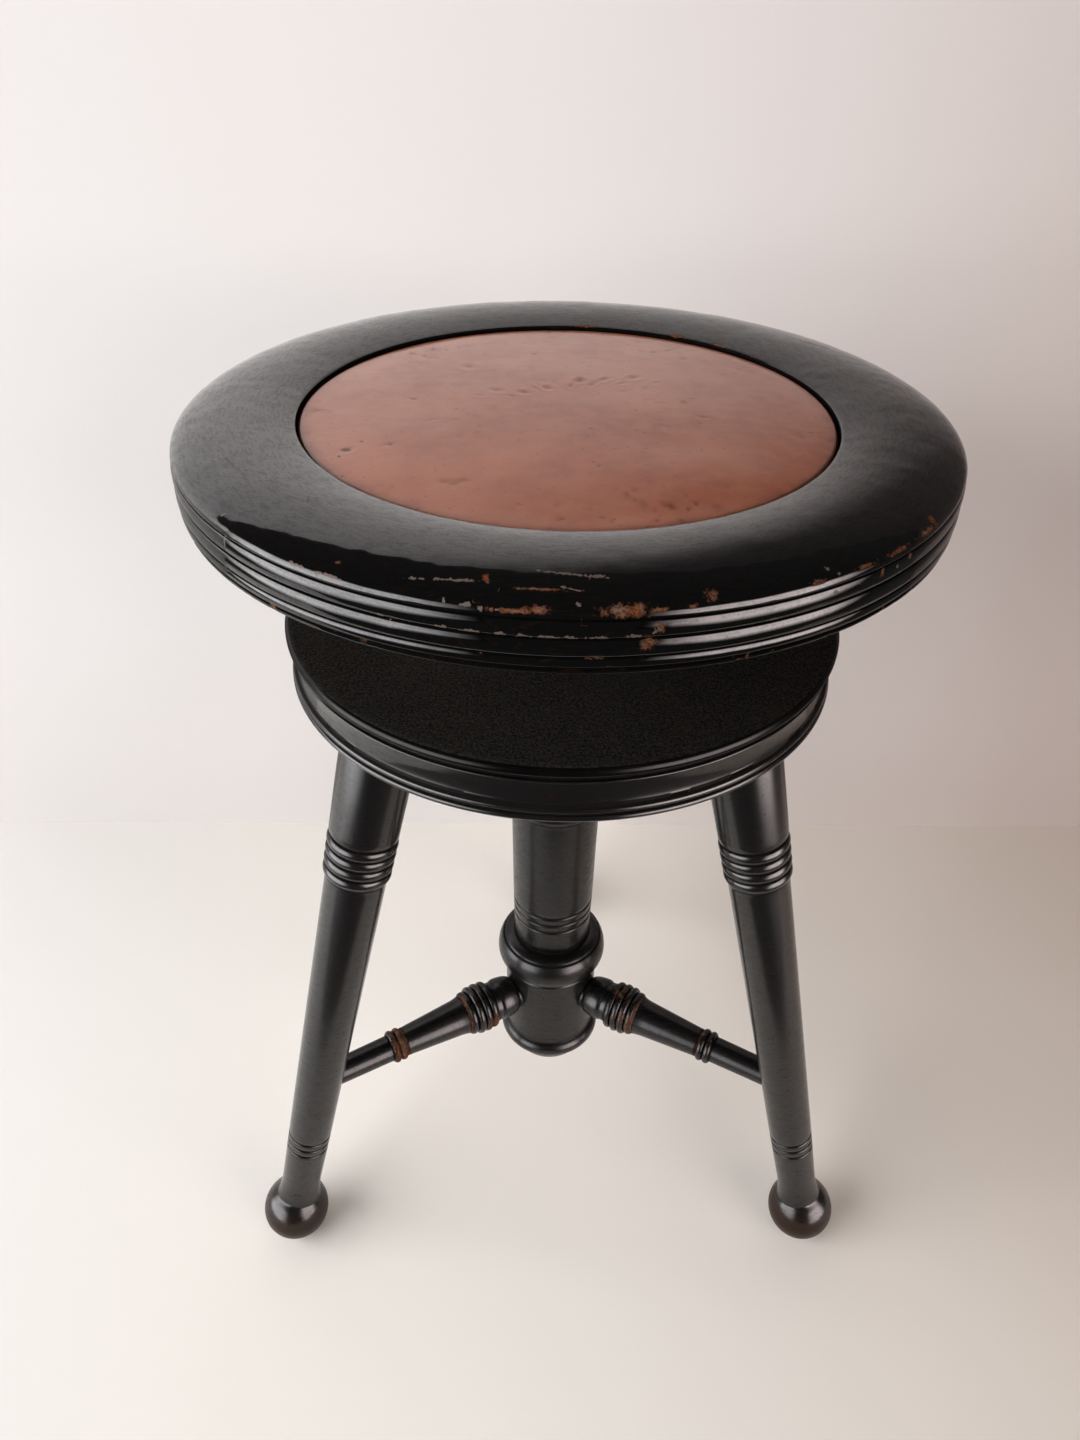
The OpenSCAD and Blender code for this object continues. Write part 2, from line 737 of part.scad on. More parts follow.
module leg_wedges() {
  span = 2 * (foot_reach + ball_d);
  color([0.6, 0.45, 0.28]) on_axis() intersection() {
    union() {
      for (a = leg_angles) leg_place(a) intersection() {
        wedge();
        cylinder(r = leg_tenon_d / 2, h = leg_l + 3 * block_t);
      }
    }
    translate([-span / 2, -span / 2, 0]) cube([span, span, block_top]);
  }
}

// Column and boss

function column_r(z) = taper(z, knop_foot_at + knop_h, column_foot_d / 2, block_z, column_top_d / 2);

// Bored from end to end; the wider mouth takes the sleeve of the nut, the foot takes the spigot of the boss
module column() {
  knop_top = knop_foot_at + knop_h;
  knop_r = knop_d / 2;
  root_share = 0.97;
  shoulder_share = 1.05;
  widest_share = 0.38;
  line_share = 0.34;
  scribe_share = 0.94;
  scribe_a = 52;
  knop_root_r = boss_d / 2 * root_share;
  shoulder_r = column_foot_d / 2 * shoulder_share;
  knop_mid = knop_foot_at + knop_h * widest_share;
  cap_r = knop_r - shoulder_r;
  cap_h = knop_top - knop_mid;
  line_w = column_line_pitch * line_share;
  line_depth = line_w / 2;
  reed_pitch = leg_reed_pitch;
  lines = [for (k = [-1:1]) column_lines_at + k * column_line_pitch];
  reeds = [for (k = [-2:1]) column_reeds_at + (k + 1) * reed_pitch];
  reeds_top = reeds[3] + reed_pitch / 4;
  outline = concat(
    [[0, knop_foot_at], [knop_root_r, knop_foot_at]],
    bow(knop_root_r, knop_mid, knop_r - knop_root_r, knop_mid - knop_foot_at, -80, 0, arc_steps),
    bow(shoulder_r, knop_mid, cap_r, cap_h, 6, scribe_a - 3, bead_steps),
    [[shoulder_r + cap_r * scribe_share * cos(scribe_a), knop_mid + cap_h * scribe_share * sin(scribe_a)]],
    bow(shoulder_r, knop_mid, cap_r, cap_h, scribe_a + 3, 90, bead_steps),
    [[column_r(knop_top) - line_depth, knop_top], [column_r(knop_top), knop_top + line_w]],
    [for (z = lines, p = groove(column_r(z), z, -line_w, line_depth)) p],
    [for (z = reeds, p = shaft_reed(column_r(z - reed_pitch / 2), z, reed_pitch)) p],
    [[column_r(reeds_top), reeds_top], [column_r(block_z), block_z],
     [column_tenon_d / 2, block_z], [column_tenon_d / 2, block_top], [0, block_top]]
  );
  color([0.05, 0.045, 0.045]) on_axis() difference() {
    turned(outline);
    translate([0, 0, knop_foot_at - overrun])
      cylinder(r = column_bore_d / 2, h = block_top - knop_foot_at + 2 * overrun);
    translate([0, 0, nut_foot - glue])
      cylinder(r = nut_sleeve_d / 2 + glue, h = block_top - nut_foot + overrun);
  }
}

// Cylinder with a rounded rim and a domed foot, and a spigot above
module stretcher_boss() {
  boss_r = boss_d / 2;
  rim_r = boss_rim_d / 2;
  rim_low = boss_rim_at - boss_rim_h;
  rim_mid = boss_rim_at - boss_rim_h / 2;
  dome_share = 0.92;
  waist_share = 0.94;
  dome_r = boss_r * dome_share;
  waist_r = boss_r * waist_share;
  cove_h = boss_r - waist_r;
  spigot_r = column_bore_d / 2 - glue;
  outline = concat(
    [for (i = [0:arc_steps])
      let (a = 90 * i / arc_steps) [dome_r * sin(a), rim_low - boss_dome_h * cos(a)]],
    bow(rim_r - boss_rim_h / 2, rim_mid, boss_rim_h / 2, boss_rim_h / 2, -78, 60, 2 * bead_steps),
    [[boss_r, boss_rim_at], [boss_r, knop_foot_at - 2 * cove_h], [waist_r, knop_foot_at],
     [spigot_r, knop_foot_at], [spigot_r, bore_foot], [0, bore_foot]]
  );
  color([0.05, 0.045, 0.045]) on_axis() difference() {
    turned(outline);
    for (a = leg_angles) stretcher_place(a)
      translate([0, 0, boss_tenon_at - glue]) cylinder(r = stretcher_tenon_d / 2 + glue, h = boss_d);
  }
}

// Stretchers

boss_tenon_share = 0.45;
boss_tenon_at = boss_d / 2 * boss_tenon_share;

// Puts a stretcher drawn up the axis in its place, pointing outwards
module stretcher_place(a) {
  rotate([0, 0, a]) translate([0, 0, stretcher_at]) rotate([0, 90, 0]) children();
}

// Places along a stretcher follow the clear length between the boss and the leg
module stretcher(a) {
  start = boss_d / 2;
  clear_l = stretcher_shoulder - start;
  neck_end_share = 0.142;
  reeds_end_share = 0.297;
  rings_start_share = 0.656;
  rings_end_share = 0.731;
  root_share = 0.77;
  neck_mid_share = 0.62;
  cove_share = 0.16;
  cove_rise_share = 0.06;
  taper_start_share = 0.95;
  thin_share = 1.13;
  swell_share = 1.05;
  reed_top_shares = [0.97, 1, 0.985, 0.89];
  neck_r = stretcher_neck_d / 2;
  root_r = neck_r * root_share;
  top_r = stretcher_reed_d / 2;
  taper_r = stretcher_taper_d / 2;
  ring_r = stretcher_ring_d / 2;
  neck_end = start + neck_end_share * clear_l;
  reeds_end = start + reeds_end_share * clear_l;
  rings_start = start + rings_start_share * clear_l;
  rings_end = start + rings_end_share * clear_l;
  reed_w = (reeds_end - neck_end) / 4;
  ring_w = (rings_end - rings_start) / 2;
  valley_r = top_r - reed_w / 2;
  neck_mid = start + (neck_end - start) * neck_mid_share;
  cove_l = (rings_start - reeds_end) * cove_share;
  thin_r = stretcher_end_r * thin_share;
  swell_r = stretcher_end_r * swell_share;
  outline = concat(
    [[0, start - root_r], [root_r, start - root_r], [root_r, start]],
    bow(root_r, neck_mid, neck_r - root_r, neck_mid - start, -75, 0, bead_steps),
    bow(0, neck_mid, neck_r, neck_end - neck_mid, 10, 22, 2),
    [for (k = [0:3], p = bow(valley_r * reed_top_shares[k], neck_end + (k + 0.5) * reed_w,
      (top_r - valley_r) * reed_top_shares[k], reed_w / 2, -90, 90, bead_steps)) p],
    [for (i = [0:bead_steps])
      let (share = i / bead_steps, x = reeds_end + share * cove_l, left = 1 - share)
      [taper(x, reeds_end, taper_r * taper_start_share, rings_start, thin_r)
        + taper_r * cove_rise_share * left * left, x]],
    [[thin_r, rings_start]],
    [for (k = [0:1], p = bow(ring_r - ring_w / 2, rings_start + (k + 0.5) * ring_w, ring_w / 2, ring_w / 2,
      -80, 80, bead_steps)) p],
    [[swell_r, rings_end], [stretcher_end_r, stretcher_shoulder], [stretcher_end_r, stretcher_tip],
     [0, stretcher_tip]]
  );
  color([0.05, 0.045, 0.045]) on_axis() stretcher_place(a) union() {
    difference() {
      turned(outline);
      translate([-stretcher_neck_d, 0, 0]) rotate([0, 90, 0]) cylinder(r = start, h = 2 * stretcher_neck_d);
    }
    translate([0, 0, boss_tenon_at]) cylinder(r = stretcher_tenon_d / 2, h = neck_mid - boss_tenon_at);
  }
}

module stretcher_left() {
  stretcher(leg_angles[0]);
}

module stretcher_right() {
  stretcher(leg_angles[1]);
}

module stretcher_rear() {
  stretcher(leg_angles[2]);
}

seat_ring();
seat_base();
pad_board();
pad_stuffing();
leather_cover();
ring_screws();
pad_screws();
screw_flange();
flange_screws();
seat_screw();
hub_pin();
stop_collar();
stop_pin();
buffer_washer();
threaded_nut();
nut_screws();
platform_top();
leg_block();
block_screws();
leg_left();
leg_right();
leg_rear();
leg_wedges();
column();
stretcher_boss();
stretcher_left();
stretcher_right();
stretcher_rear();
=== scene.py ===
# Revolving piano stool: black-polished turned wood with a red-brown leather pad.
# The sections follow the stool from its stand up to the seat, then come the room and the camera.

import bpy
import numpy as np
from mathutils import Matrix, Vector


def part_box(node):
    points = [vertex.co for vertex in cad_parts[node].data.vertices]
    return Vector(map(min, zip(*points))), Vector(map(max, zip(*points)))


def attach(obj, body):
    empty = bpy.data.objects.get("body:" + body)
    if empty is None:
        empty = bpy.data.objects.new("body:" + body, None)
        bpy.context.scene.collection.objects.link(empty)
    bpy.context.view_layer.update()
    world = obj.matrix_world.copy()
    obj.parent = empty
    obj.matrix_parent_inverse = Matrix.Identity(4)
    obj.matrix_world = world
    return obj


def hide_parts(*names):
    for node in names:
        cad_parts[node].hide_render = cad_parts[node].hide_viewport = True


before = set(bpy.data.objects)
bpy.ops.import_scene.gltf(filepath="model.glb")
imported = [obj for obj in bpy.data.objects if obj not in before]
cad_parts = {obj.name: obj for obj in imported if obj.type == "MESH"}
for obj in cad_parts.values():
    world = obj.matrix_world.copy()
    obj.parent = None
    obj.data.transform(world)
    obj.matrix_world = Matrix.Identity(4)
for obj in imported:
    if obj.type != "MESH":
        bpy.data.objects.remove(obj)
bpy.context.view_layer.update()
mm = 0.001

# Leg block
# A thick round of beech, bored for the column and the three legs. Its edge is turned with a thin bead, a
# hollow band and two beads, and it is stained and polished black like all the wood that shows.

block_low, block_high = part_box("leg_block")
board_low, board_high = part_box("platform_top")
axis_y = (board_low.y + board_high.y) / 2
stand_r = (board_high.x - board_low.x) / 2
block_z, block_top = block_low.z, block_high.z
block_bead_h = 3.8 * mm
thin_bead_h = 1.7 * mm
block_quirk = 0.85 * mm
band_depth = 3.2 * mm
band_hollow = 0.8 * mm
column_hole_r = 23.1 * mm
polish_black = (0.0014, 0.0012, 0.0012, 1)
polish_thin = (0.050, 0.020, 0.010, 1)
wood_bare = (0.185, 0.064, 0.026, 1)
wood_grey = (0.190, 0.110, 0.080, 1)
wood_dark = (0.045, 0.020, 0.012, 1)
scuff_pale = (0.170, 0.130, 0.112, 1)
dust_grey = (0.085, 0.078, 0.070, 1)
ground_shine = 0.06
blotch, spot, speck, streak, tear = 34 * mm, 6 * mm, 1.1 * mm, 1.2 * mm, 2.6 * mm
bloom_size, brown_wave, relief = 90 * mm, 8 * mm, 0.25 * mm
thin_from, thin_all, bare_from, bare_all = 1.06, 1.32, 1.24, 1.33
scratch_stretch = (34, 2200, 500)
scratch_turns = ((0.5, 0.74), (1.9, 0.745), (2.7, 0.75))
edge_reach = 0.9 * mm
stand_ease, slim_ease = 0.4 * mm, 0.35 * mm
sanding = 0.04 * mm


def bow(r, z, half_r, half_z, a0, a1, n=12):
    """Points of an ellipse about (r, z) with those half axes, from angle a0 to a1 in degrees."""
    a = np.radians(np.linspace(a0, a1, n + 1))
    return np.column_stack([r + half_r * np.cos(a), z + half_z * np.sin(a)])


def strides(points):
    """The steps from each point to the next, and their lengths."""
    step = np.diff(points, axis=0)
    return step, np.linalg.norm(step, axis=1)


def turning(step):
    """The angle by which each step turns from the one before."""
    return np.diff(np.unwrap(np.arctan2(step[:, 1], step[:, 0])))


def looped(points, closed):
    """A closed outline with its last point put before it too, and its first behind it."""
    return np.vstack([points[-1:], points, points[:1]]) if closed else points


def eased(points, ease, rows, closed=False):
    """An outline with its corners rounded and its points spread anew.

    Each corner V gives way to (1-t)^2 A + 2t(1-t) V + t^2 B, where A and B lie on its two sides, at most
    ease from V. The rows stand at even steps of length plus turning, so they crowd where it bends.
    """
    points = points[np.r_[True, strides(points)[1] > 0.01 * mm]]
    ring = looped(points, closed)
    side, length = strides(ring)
    cut = np.minimum(ease, np.minimum(length[:-1], length[1:]) / 2)[:, None]
    unit = side / length[:, None]
    corner = ring[1:-1]
    t = np.linspace(0, 1, 6)[:, None]
    start, end = (corner - unit[:-1] * cut)[:, None], (corner + unit[1:] * cut)[:, None]
    line = ((1 - t) ** 2 * start + 2 * t * (1 - t) * corner[:, None] + t * t * end).reshape(-1, 2)
    line = np.vstack([line, line[:1]]) if closed else np.vstack([points[:1], line, points[-1:]])
    line = line[np.r_[True, strides(line)[1] > 1e-9]]
    step, size = strides(line)
    turn = np.abs(turning(step))
    pace = size / size.sum() + np.r_[turn, 0] / turn.sum()
    travel = np.r_[0, np.cumsum(pace)]
    at = np.linspace(0, travel[-1], rows + 1 if closed else rows)
    even = np.column_stack([np.interp(at, travel, line[:, k]) for k in (0, 1)])
    return even[:-1] if closed else even


def bends(outline, reach, closed=False):
    """How sharply an outline turns outwards and inwards at each point, in right angles: its turning
    angles summed under a bell curve that is reach wide."""
    turn = turning(strides(looped(outline, closed))[0])
    turn = turn if closed else np.r_[0, turn, 0]
    along = np.r_[0, np.cumsum(strides(outline)[1])]
    gap = np.abs(along[:, None] - along[None, :])
    gap = np.minimum(gap, along[-1] - gap) if closed else gap
    bell = np.exp(-0.5 * (gap / reach) ** 2)
    return bell @ np.maximum(turn, 0) / (np.pi / 2), bell @ np.maximum(-turn, 0) / (np.pi / 2)


def cloud(points, size, seed):
    """Smooth random values from -1 to 1: random numbers on a cubic lattice of that size, blended between
    its corners by 3t^2 - 2t^3."""
    table = np.random.default_rng(seed).uniform(-1, 1, (32, 32, 32))
    cell = np.floor(points / size).astype(int)
    part = points / size - cell
    part = part * part * (3 - 2 * part)
    total = np.zeros(points.shape[:-1])
    for corner in np.ndindex(2, 2, 2):
        at = (cell + corner) % 32
        share = np.prod(np.where(corner, part, 1 - part), axis=-1)
        total += table[at[..., 0], at[..., 1], at[..., 2]] * share
    return total


def clouds(points, *parts):
    """A sum of clouds, each with its weight, size in mm and seed."""
    return sum(weight * cloud(points, size * mm, seed) for weight, size, seed in parts)


def added(name, data):
    """A new object made of that data, put in the scene."""
    thing = bpy.data.objects.new(name, data)
    bpy.context.scene.collection.objects.link(thing)
    return thing


def woven(name, grid, closed=False, **marks):
    """An object from a grid of points, rows by turns, joined round each row. An end row that has shrunk
    to a point becomes one vertex. Each mark is a value per point that the material reads."""
    rows, turns = grid.shape[:2]
    ids = np.arange(rows * turns).reshape(rows, turns)
    for end in (0, -1):
        if not closed and np.ptp(grid[end], axis=0).max() < 0.001 * mm:
            ids[end] = ids[end, 0]
    ids = np.vstack([ids, ids[:1]]) if closed else ids
    low, high = ids[:-1], ids[1:]
    quads = np.stack([low, np.roll(low, -1, 1), np.roll(high, -1, 1), high], -1).reshape(-1, 4)
    used = np.unique(ids)
    quads = np.searchsorted(used, quads)
    tip, tail = quads[:, 0] == quads[:, 1], quads[:, 2] == quads[:, 3]
    faces = quads[~(tip | tail)].tolist() + quads[tip][:, [0, 2, 3]].tolist() + quads[tail][:, :3].tolist()
    mesh = bpy.data.meshes.new(name)
    mesh.from_pydata(grid.reshape(-1, 3)[used].tolist(), [], faces)
    mesh.shade_smooth()
    for mark, values in marks.items():
        kind, field = ("FLOAT_VECTOR", "vector") if values.ndim == 3 else ("FLOAT", "value")
        layer = mesh.attributes.new(mark, kind, "POINT")
        each = np.broadcast_to(values, (rows, turns, *values.shape[2:])).reshape(rows * turns, -1)
        layer.data.foreach_set(field, each[used].astype(np.float32).reshape(-1))
    return added(name, mesh)


def on_axis(points):
    """Moves points drawn about the origin to the stool's axis."""
    return points + np.array([0, axis_y, 0])


def swept(r, z, a):
    """Points (r cos a, r sin a, z), a row for each pair of r and z and a column for each turn a."""
    return np.stack([r[:, None] * np.cos(a), r[:, None] * np.sin(a), z[:, None] + 0 * a], -1)


def lathed(outline, turns, closed=False):
    """A turned surface before it is placed: its points, its outward normals, the turn of each column, and
    the lathe's own coordinates, in which a streak round the piece is drawn five times shorter."""
    a = np.linspace(0, 2 * np.pi, turns, endpoint=False)
    slope = np.gradient(looped(outline, closed), axis=0)
    slope = slope[1:-1] if closed else slope
    slope = slope / np.linalg.norm(slope, axis=1)[:, None]
    run = np.r_[0, np.cumsum(strides(outline)[1])]
    girth = np.full(len(outline), outline[:, 0].mean() / 5)
    points = swept(outline[:, 0], outline[:, 1], a)
    return points, swept(slope[:, 1], -slope[:, 0], a), a, swept(girth, run, a)


def turned(name, outline, turns, closed=False, seed=1, place=None, scuffs=0.0):
    """A turned wooden piece: the lathed surface with the faint waves that hand sanding leaves, standing
    on the stool's axis unless place moves it. It carries edge, hollow and worn for the finish."""
    edge, hollow = bends(outline, edge_reach, closed)
    points, normals, _, lathe = lathed(outline, turns, closed)
    points = points + normals * (sanding * cloud(points, 17 * mm, seed))[..., None]
    patches = clouds(points, (1.6, 16, seed + 1), (0.5, 3, seed + 2))
    worn = scuffs * np.clip(patches - 0.3, 0, 1)
    points = place(points) if place else on_axis(points)
    return woven(name, points, closed, edge=edge[:, None], hollow=hollow[:, None], worn=worn, lathe=lathe)


class Wire:
    """An output of a material's node. Arithmetic on it adds Math nodes, and node() adds any other node."""

    def __init__(self, tree, socket=None):
        self.tree = tree
        self.socket = socket

    def node(self, kind, settings=None, sockets=None, out=0):
        made = self.tree.nodes.new("ShaderNode" + kind)
        for name, value in (settings or {}).items():
            setattr(made, name, value)
        for name, value in (sockets or {}).items():
            feed(made.inputs[name], value)
        return Wire(self.tree, made.outputs[out])

    def math(self, operation, *values):
        return self.node("Math", {"operation": operation}, dict(enumerate(values)))

    def __add__(self, other):
        return self.math("ADD", self, other)

    def __sub__(self, other):
        return self.math("SUBTRACT", self, other)

    def __rsub__(self, other):
        return self.math("SUBTRACT", other, self)

    def __mul__(self, other):
        return self.math("MULTIPLY", self, other)

    __radd__ = __add__
    __rmul__ = __mul__

    def larger(self, other):
        return self.math("MAXIMUM", self, other)

    def step(self, low, high):
        """0 below low and 1 above high with a smooth step between, or the reverse if high is the lower."""
        sockets = {"Value": self, "From Min": min(low, high), "From Max": max(low, high)}
        sockets.update({"To Min": float(high < low), "To Max": float(low < high)})
        return self.node("MapRange", {"interpolation_type": "SMOOTHSTEP"}, sockets)

    def paint(self, under, over):
        """The colour over laid on under, where this wire says how much."""
        sockets = {0: self, 6: under, 7: over}
        return self.node("Mix", {"data_type": "RGBA"}, sockets, out=2)

    def at(self, turn=(0, 0, 0), stretch=(1, 1, 1)):
        """Object coordinates in metres, turned about the origin and then stretched."""
        place = self.node("TexCoord", out=3)
        return self.node("Mapping", None, {"Vector": place, "Rotation": turn, "Scale": stretch})

    def axis(self, k):
        """One of the object coordinates in metres: 0 for x, 1 for y and 2 for z."""
        return self.node("SeparateXYZ", None, {"Vector": self.at()}, out=k)

    def noise(self, size, detail=2.0, place=None):
        """Noise with that feature size in metres."""
        sockets = {"Vector": place or self.at(), "Scale": 1 / size, "Detail": detail}
        return self.node("TexNoise", None, sockets)

    def vectors(self, operation, *values, out=0):
        """A sum on vectors. Its answer is output 1 where it is a number."""
        return self.node("VectorMath", {"operation": operation}, dict(enumerate(values)), out=out)

    def bump(self, strength, distance):
        """The normal of a surface with this wire as its height."""
        return self.node("Bump", None, {"Strength": strength, "Distance": distance, "Height": self})

    def mark(self, name, out=2):
        """A value that the mesh carries at each point, or with out=1 a vector."""
        return self.node("Attribute", {"attribute_name": name}, out=out)


def feed(socket, value):
    """Links a wire to a socket, or sets it to a plain value."""
    if isinstance(value, Wire):
        value.tree.links.new(value.socket, socket)
    else:
        socket.default_value = value


def begun(name):
    """A new material, its Principled shader and a wire to build its nodes with."""
    material = bpy.data.materials.new(name)
    material.use_nodes = True
    tree = material.node_tree
    return material, tree.nodes["Principled BSDF"], Wire(tree)


def plug(shader, **values):
    """Sets a shader's sockets, named with _ for a space, to wires or plain values."""
    for name, value in values.items():
        feed(shader.inputs[name.replace("_", " ")], value)


def inside(w, name, layers):
    """How deep a point lies inside the nearest of its piece's marks: 1 at a mark's middle, 0 at its rim and
    less outside it. Each layer holds the place in the mark as a vector, whose length is taken from 1."""
    nearest = 100.0
    for k in range(layers):
        nearest = w.math("MINIMUM", nearest, w.vectors("LENGTH", w.mark(name + str(k), out=1), out=1))
    return 1 - nearest


def black_polish(name, coat_rough, rub=0.5, dust=0.03, gloss=1.0, scratch=0.5, film=0.5, brown_below=0,
                 dull_above=0, ground=ground_shine, bare_layers=0, pale_layers=0):
    """Black shellac on stained beech: a glossy coat on a duller ground. Where edges are rubbed it thins to
    brown and then to bare wood. Hollows are dull, and scratches run round the piece and across it. Below
    the height brown_below it is scuffed brown, and above dull_above it is flat black with dust on it."""
    material, shader, w = begun(name)
    edge, hollow, worn = w.mark("edge"), w.mark("hollow"), w.mark("worn")
    lathe = w.mark("lathe", out=1)
    broad, spots, fine = w.noise(blotch), w.noise(spot, 3.0), w.noise(speck)
    streaks = w.noise(streak, 3.0, lathe)
    torn = (fine - 0.5) * 2.4 + (w.noise(tear, 1.0) - 0.5) * 2.2
    wear = edge * rub * 0.55 + worn * 0.75 + broad * 0.12 + spots * 0.3 + streaks * 0.25 + fine * 0.45
    thinned = (wear + torn * 0.2).step(thin_from, thin_all) * film
    through = (wear + torn * 0.25).step(bare_from, bare_all)
    rubbed = 0.0
    if brown_below:
        rubbed = (w.axis(2) + spots * brown_wave).step(brown_below, brown_below * 0.6)
        thinned = thinned.larger(rubbed * 0.3)
    if bare_layers:
        deep = inside(w, "bare", bare_layers) + torn
        thinned = thinned.larger(deep.step(-0.45, 0.05) * 0.8)
        through = through.larger(deep.step(0.0, 0.14))
    lines = 0.0
    for turn, where in scratch_turns:
        crossing = w.noise(1.0, 1.0, w.at((0.3, 0.2, turn), scratch_stretch))
        lines = (crossing + broad * 0.12).step(where, where + 0.05).larger(lines)
    lines = lines * scratch
    settled = (hollow * 0.9 + broad * 0.5 + spots * 0.3).step(0.75, 1.5) * dust
    bloom = (broad * 0.6 + w.noise(bloom_size) * 0.6).step(0.5, 0.85) * 0.05 * dust
    bare = spots.step(0.35, 0.65).paint(wood_bare, wood_grey)
    bare = (fine.step(0.42, 0.60) * 0.75).paint(bare, wood_dark)
    colour = thinned.paint(polish_black, polish_thin)
    colour = (lines * 0.35).paint(colour, polish_thin)
    colour = through.paint(colour, bare)
    colour = (settled + bloom).paint(colour, dust_grey)
    rough = 0.42 + broad * 0.10 + fine * 0.06 + lines * 0.2 + through * 0.25 + settled * 0.3
    coat = gloss * (1 - through) * (1 - lines * 0.6) * (1 - hollow.step(0.25, 0.8))
    coat = coat * (1 - broad.step(0.62, 0.8) * 0.25) * (1 - thinned * 0.35) * (1 - rubbed * 0.65)
    height = fine * 0.03 + spots * 0.06 + streaks * 0.9 - lines * 0.4 - through * 1.2
    if dull_above:
        face = w.axis(2).step(dull_above - stand_ease, dull_above)
        coat = coat * (1 - face)
        colour = (face * (fine.step(0.2, 0.85) * 0.33 + 0.04)).paint(colour, dust_grey)
    smeared = (streaks * 0.55 + fine * 0.45).step(0.46, 0.60)
    coat = coat * (1 - smeared * 0.2)
    if pale_layers:
        scuffed = (inside(w, "pale", pale_layers) + torn).step(0.05, 0.35)
        colour = (scuffed * 0.8).paint(colour, scuff_pale)
        coat = coat * (1 - scuffed * 0.75)
        height = height - scuffed * 0.5
    plug(shader, Base_Color=colour, Roughness=rough, Coat_Weight=coat, Normal=height.bump(0.3, relief))
    plug(shader, Coat_Roughness=coat_rough, Specular_IOR_Level=ground)
    return material


def made_of(piece, material, slot, body, *nodes):
    """Dresses a piece, and lets it ride on a body in place of the nodes that it stands for."""
    piece.data.materials.append(material)
    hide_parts(*nodes)
    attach(piece, body)


low_r = stand_r - block_bead_h / 2 - block_quirk
high_r = low_r - block_bead_h / 8
band_r = stand_r - band_depth
band_low = block_z + 2 * block_bead_h
band_high = block_top - 2 * block_quirk - thin_bead_h
band_s = np.linspace(0, 1, 15)
block_outline = np.vstack([
    [[column_hole_r, block_z], [low_r, block_z]],
    bow(low_r, block_z + block_bead_h / 2, block_bead_h / 2, block_bead_h / 2, -90, 90),
    bow(high_r, block_z + block_bead_h * 1.5, block_bead_h / 2, block_bead_h / 2, -90, 90),
    np.column_stack([
        band_r - band_hollow * np.sin(np.pi * band_s),
        band_low + (band_high - band_low) * band_s,
    ]),
    bow(band_r, band_high + block_quirk + thin_bead_h / 2, thin_bead_h, thin_bead_h / 2, -90, 90),
    [[band_r, block_top], [column_hole_r, block_top]],
])
stand_polish = black_polish("stand polish", coat_rough=0.12, rub=0.45, dust=0.1, scratch=0.4)
leg_block = turned("leg_block_polished", eased(block_outline, stand_ease, 120, True), 360, True, seed=3)
made_of(leg_block, stand_polish, "ebonised_wood", "stand", "leg_block")

# Top board
# A thin round board with a full nosing, screwed to the block from below. Its flat face is dull and dusty,
# because the seat keeps the duster off it.

stand_top = board_high.z
board_t = stand_top - board_low.z
nose_r = board_t * 0.46
nut_hole_r = 17.2 * mm
board_outline = np.vstack([
    [[nut_hole_r, block_top], [stand_r - nose_r, block_top]],
    bow(stand_r - nose_r, stand_top - nose_r, nose_r, nose_r, -90, 90, 20),
    [[nut_hole_r, stand_top]],
])
board_polish = black_polish("board polish", coat_rough=0.20, rub=0.3, dust=0.9, gloss=0.35, scratch=0.25,
                            dull_above=stand_top - 0.2 * mm, ground=0)
top_board = turned("top_board_polished", eased(board_outline, stand_ease, 100, True), 360, True, seed=4)
made_of(top_board, board_polish, "ebonised_wood", "stand", "platform_top")

# Column
# Turned from one piece and bored through for the screw, with four reeds at the top, three scribed lines
# and a knop at its foot. Its tenon is glued into the block.

column_low, column_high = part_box("column")
column_foot = column_low.z
knop_h = 23 * mm
knop_r = (column_high.x - column_low.x) / 2
column_top_r, column_foot_r = 30.3 * mm, 23.9 * mm
column_bore_r = 14.5 * mm
reed_pitch = 6.6 * mm
column_reeds_z, column_lines_z, column_line_pitch = 308 * mm, 210 * mm, 6.3 * mm
boss_r = 29.5 * mm
scribe_at, scribe_depth_share = 52, 0.94


def reeds_on(radius, tops, pitch):
    """Reeds on a tapering shaft, one below each top: half ellipses that cut a fifth of the pitch deep."""
    return np.vstack([
        bow(radius(top - pitch / 2) - 0.2 * pitch, top - pitch / 2, 0.28 * pitch, pitch / 2, -90, 90, 8)
        for top in tops
    ])


def lines_on(radius, middles, width):
    """Scribed lines round a tapering shaft, as shallow grooves half as deep as wide."""
    return np.vstack([
        [[radius(z), z - width / 2], [radius(z) - width / 2, z], [radius(z), z + width / 2]]
        for z in middles
    ])


def column_radius(z):
    share = (z - column_foot - knop_h) / (block_z - column_foot - knop_h)
    return column_foot_r + (column_top_r - column_foot_r) * share


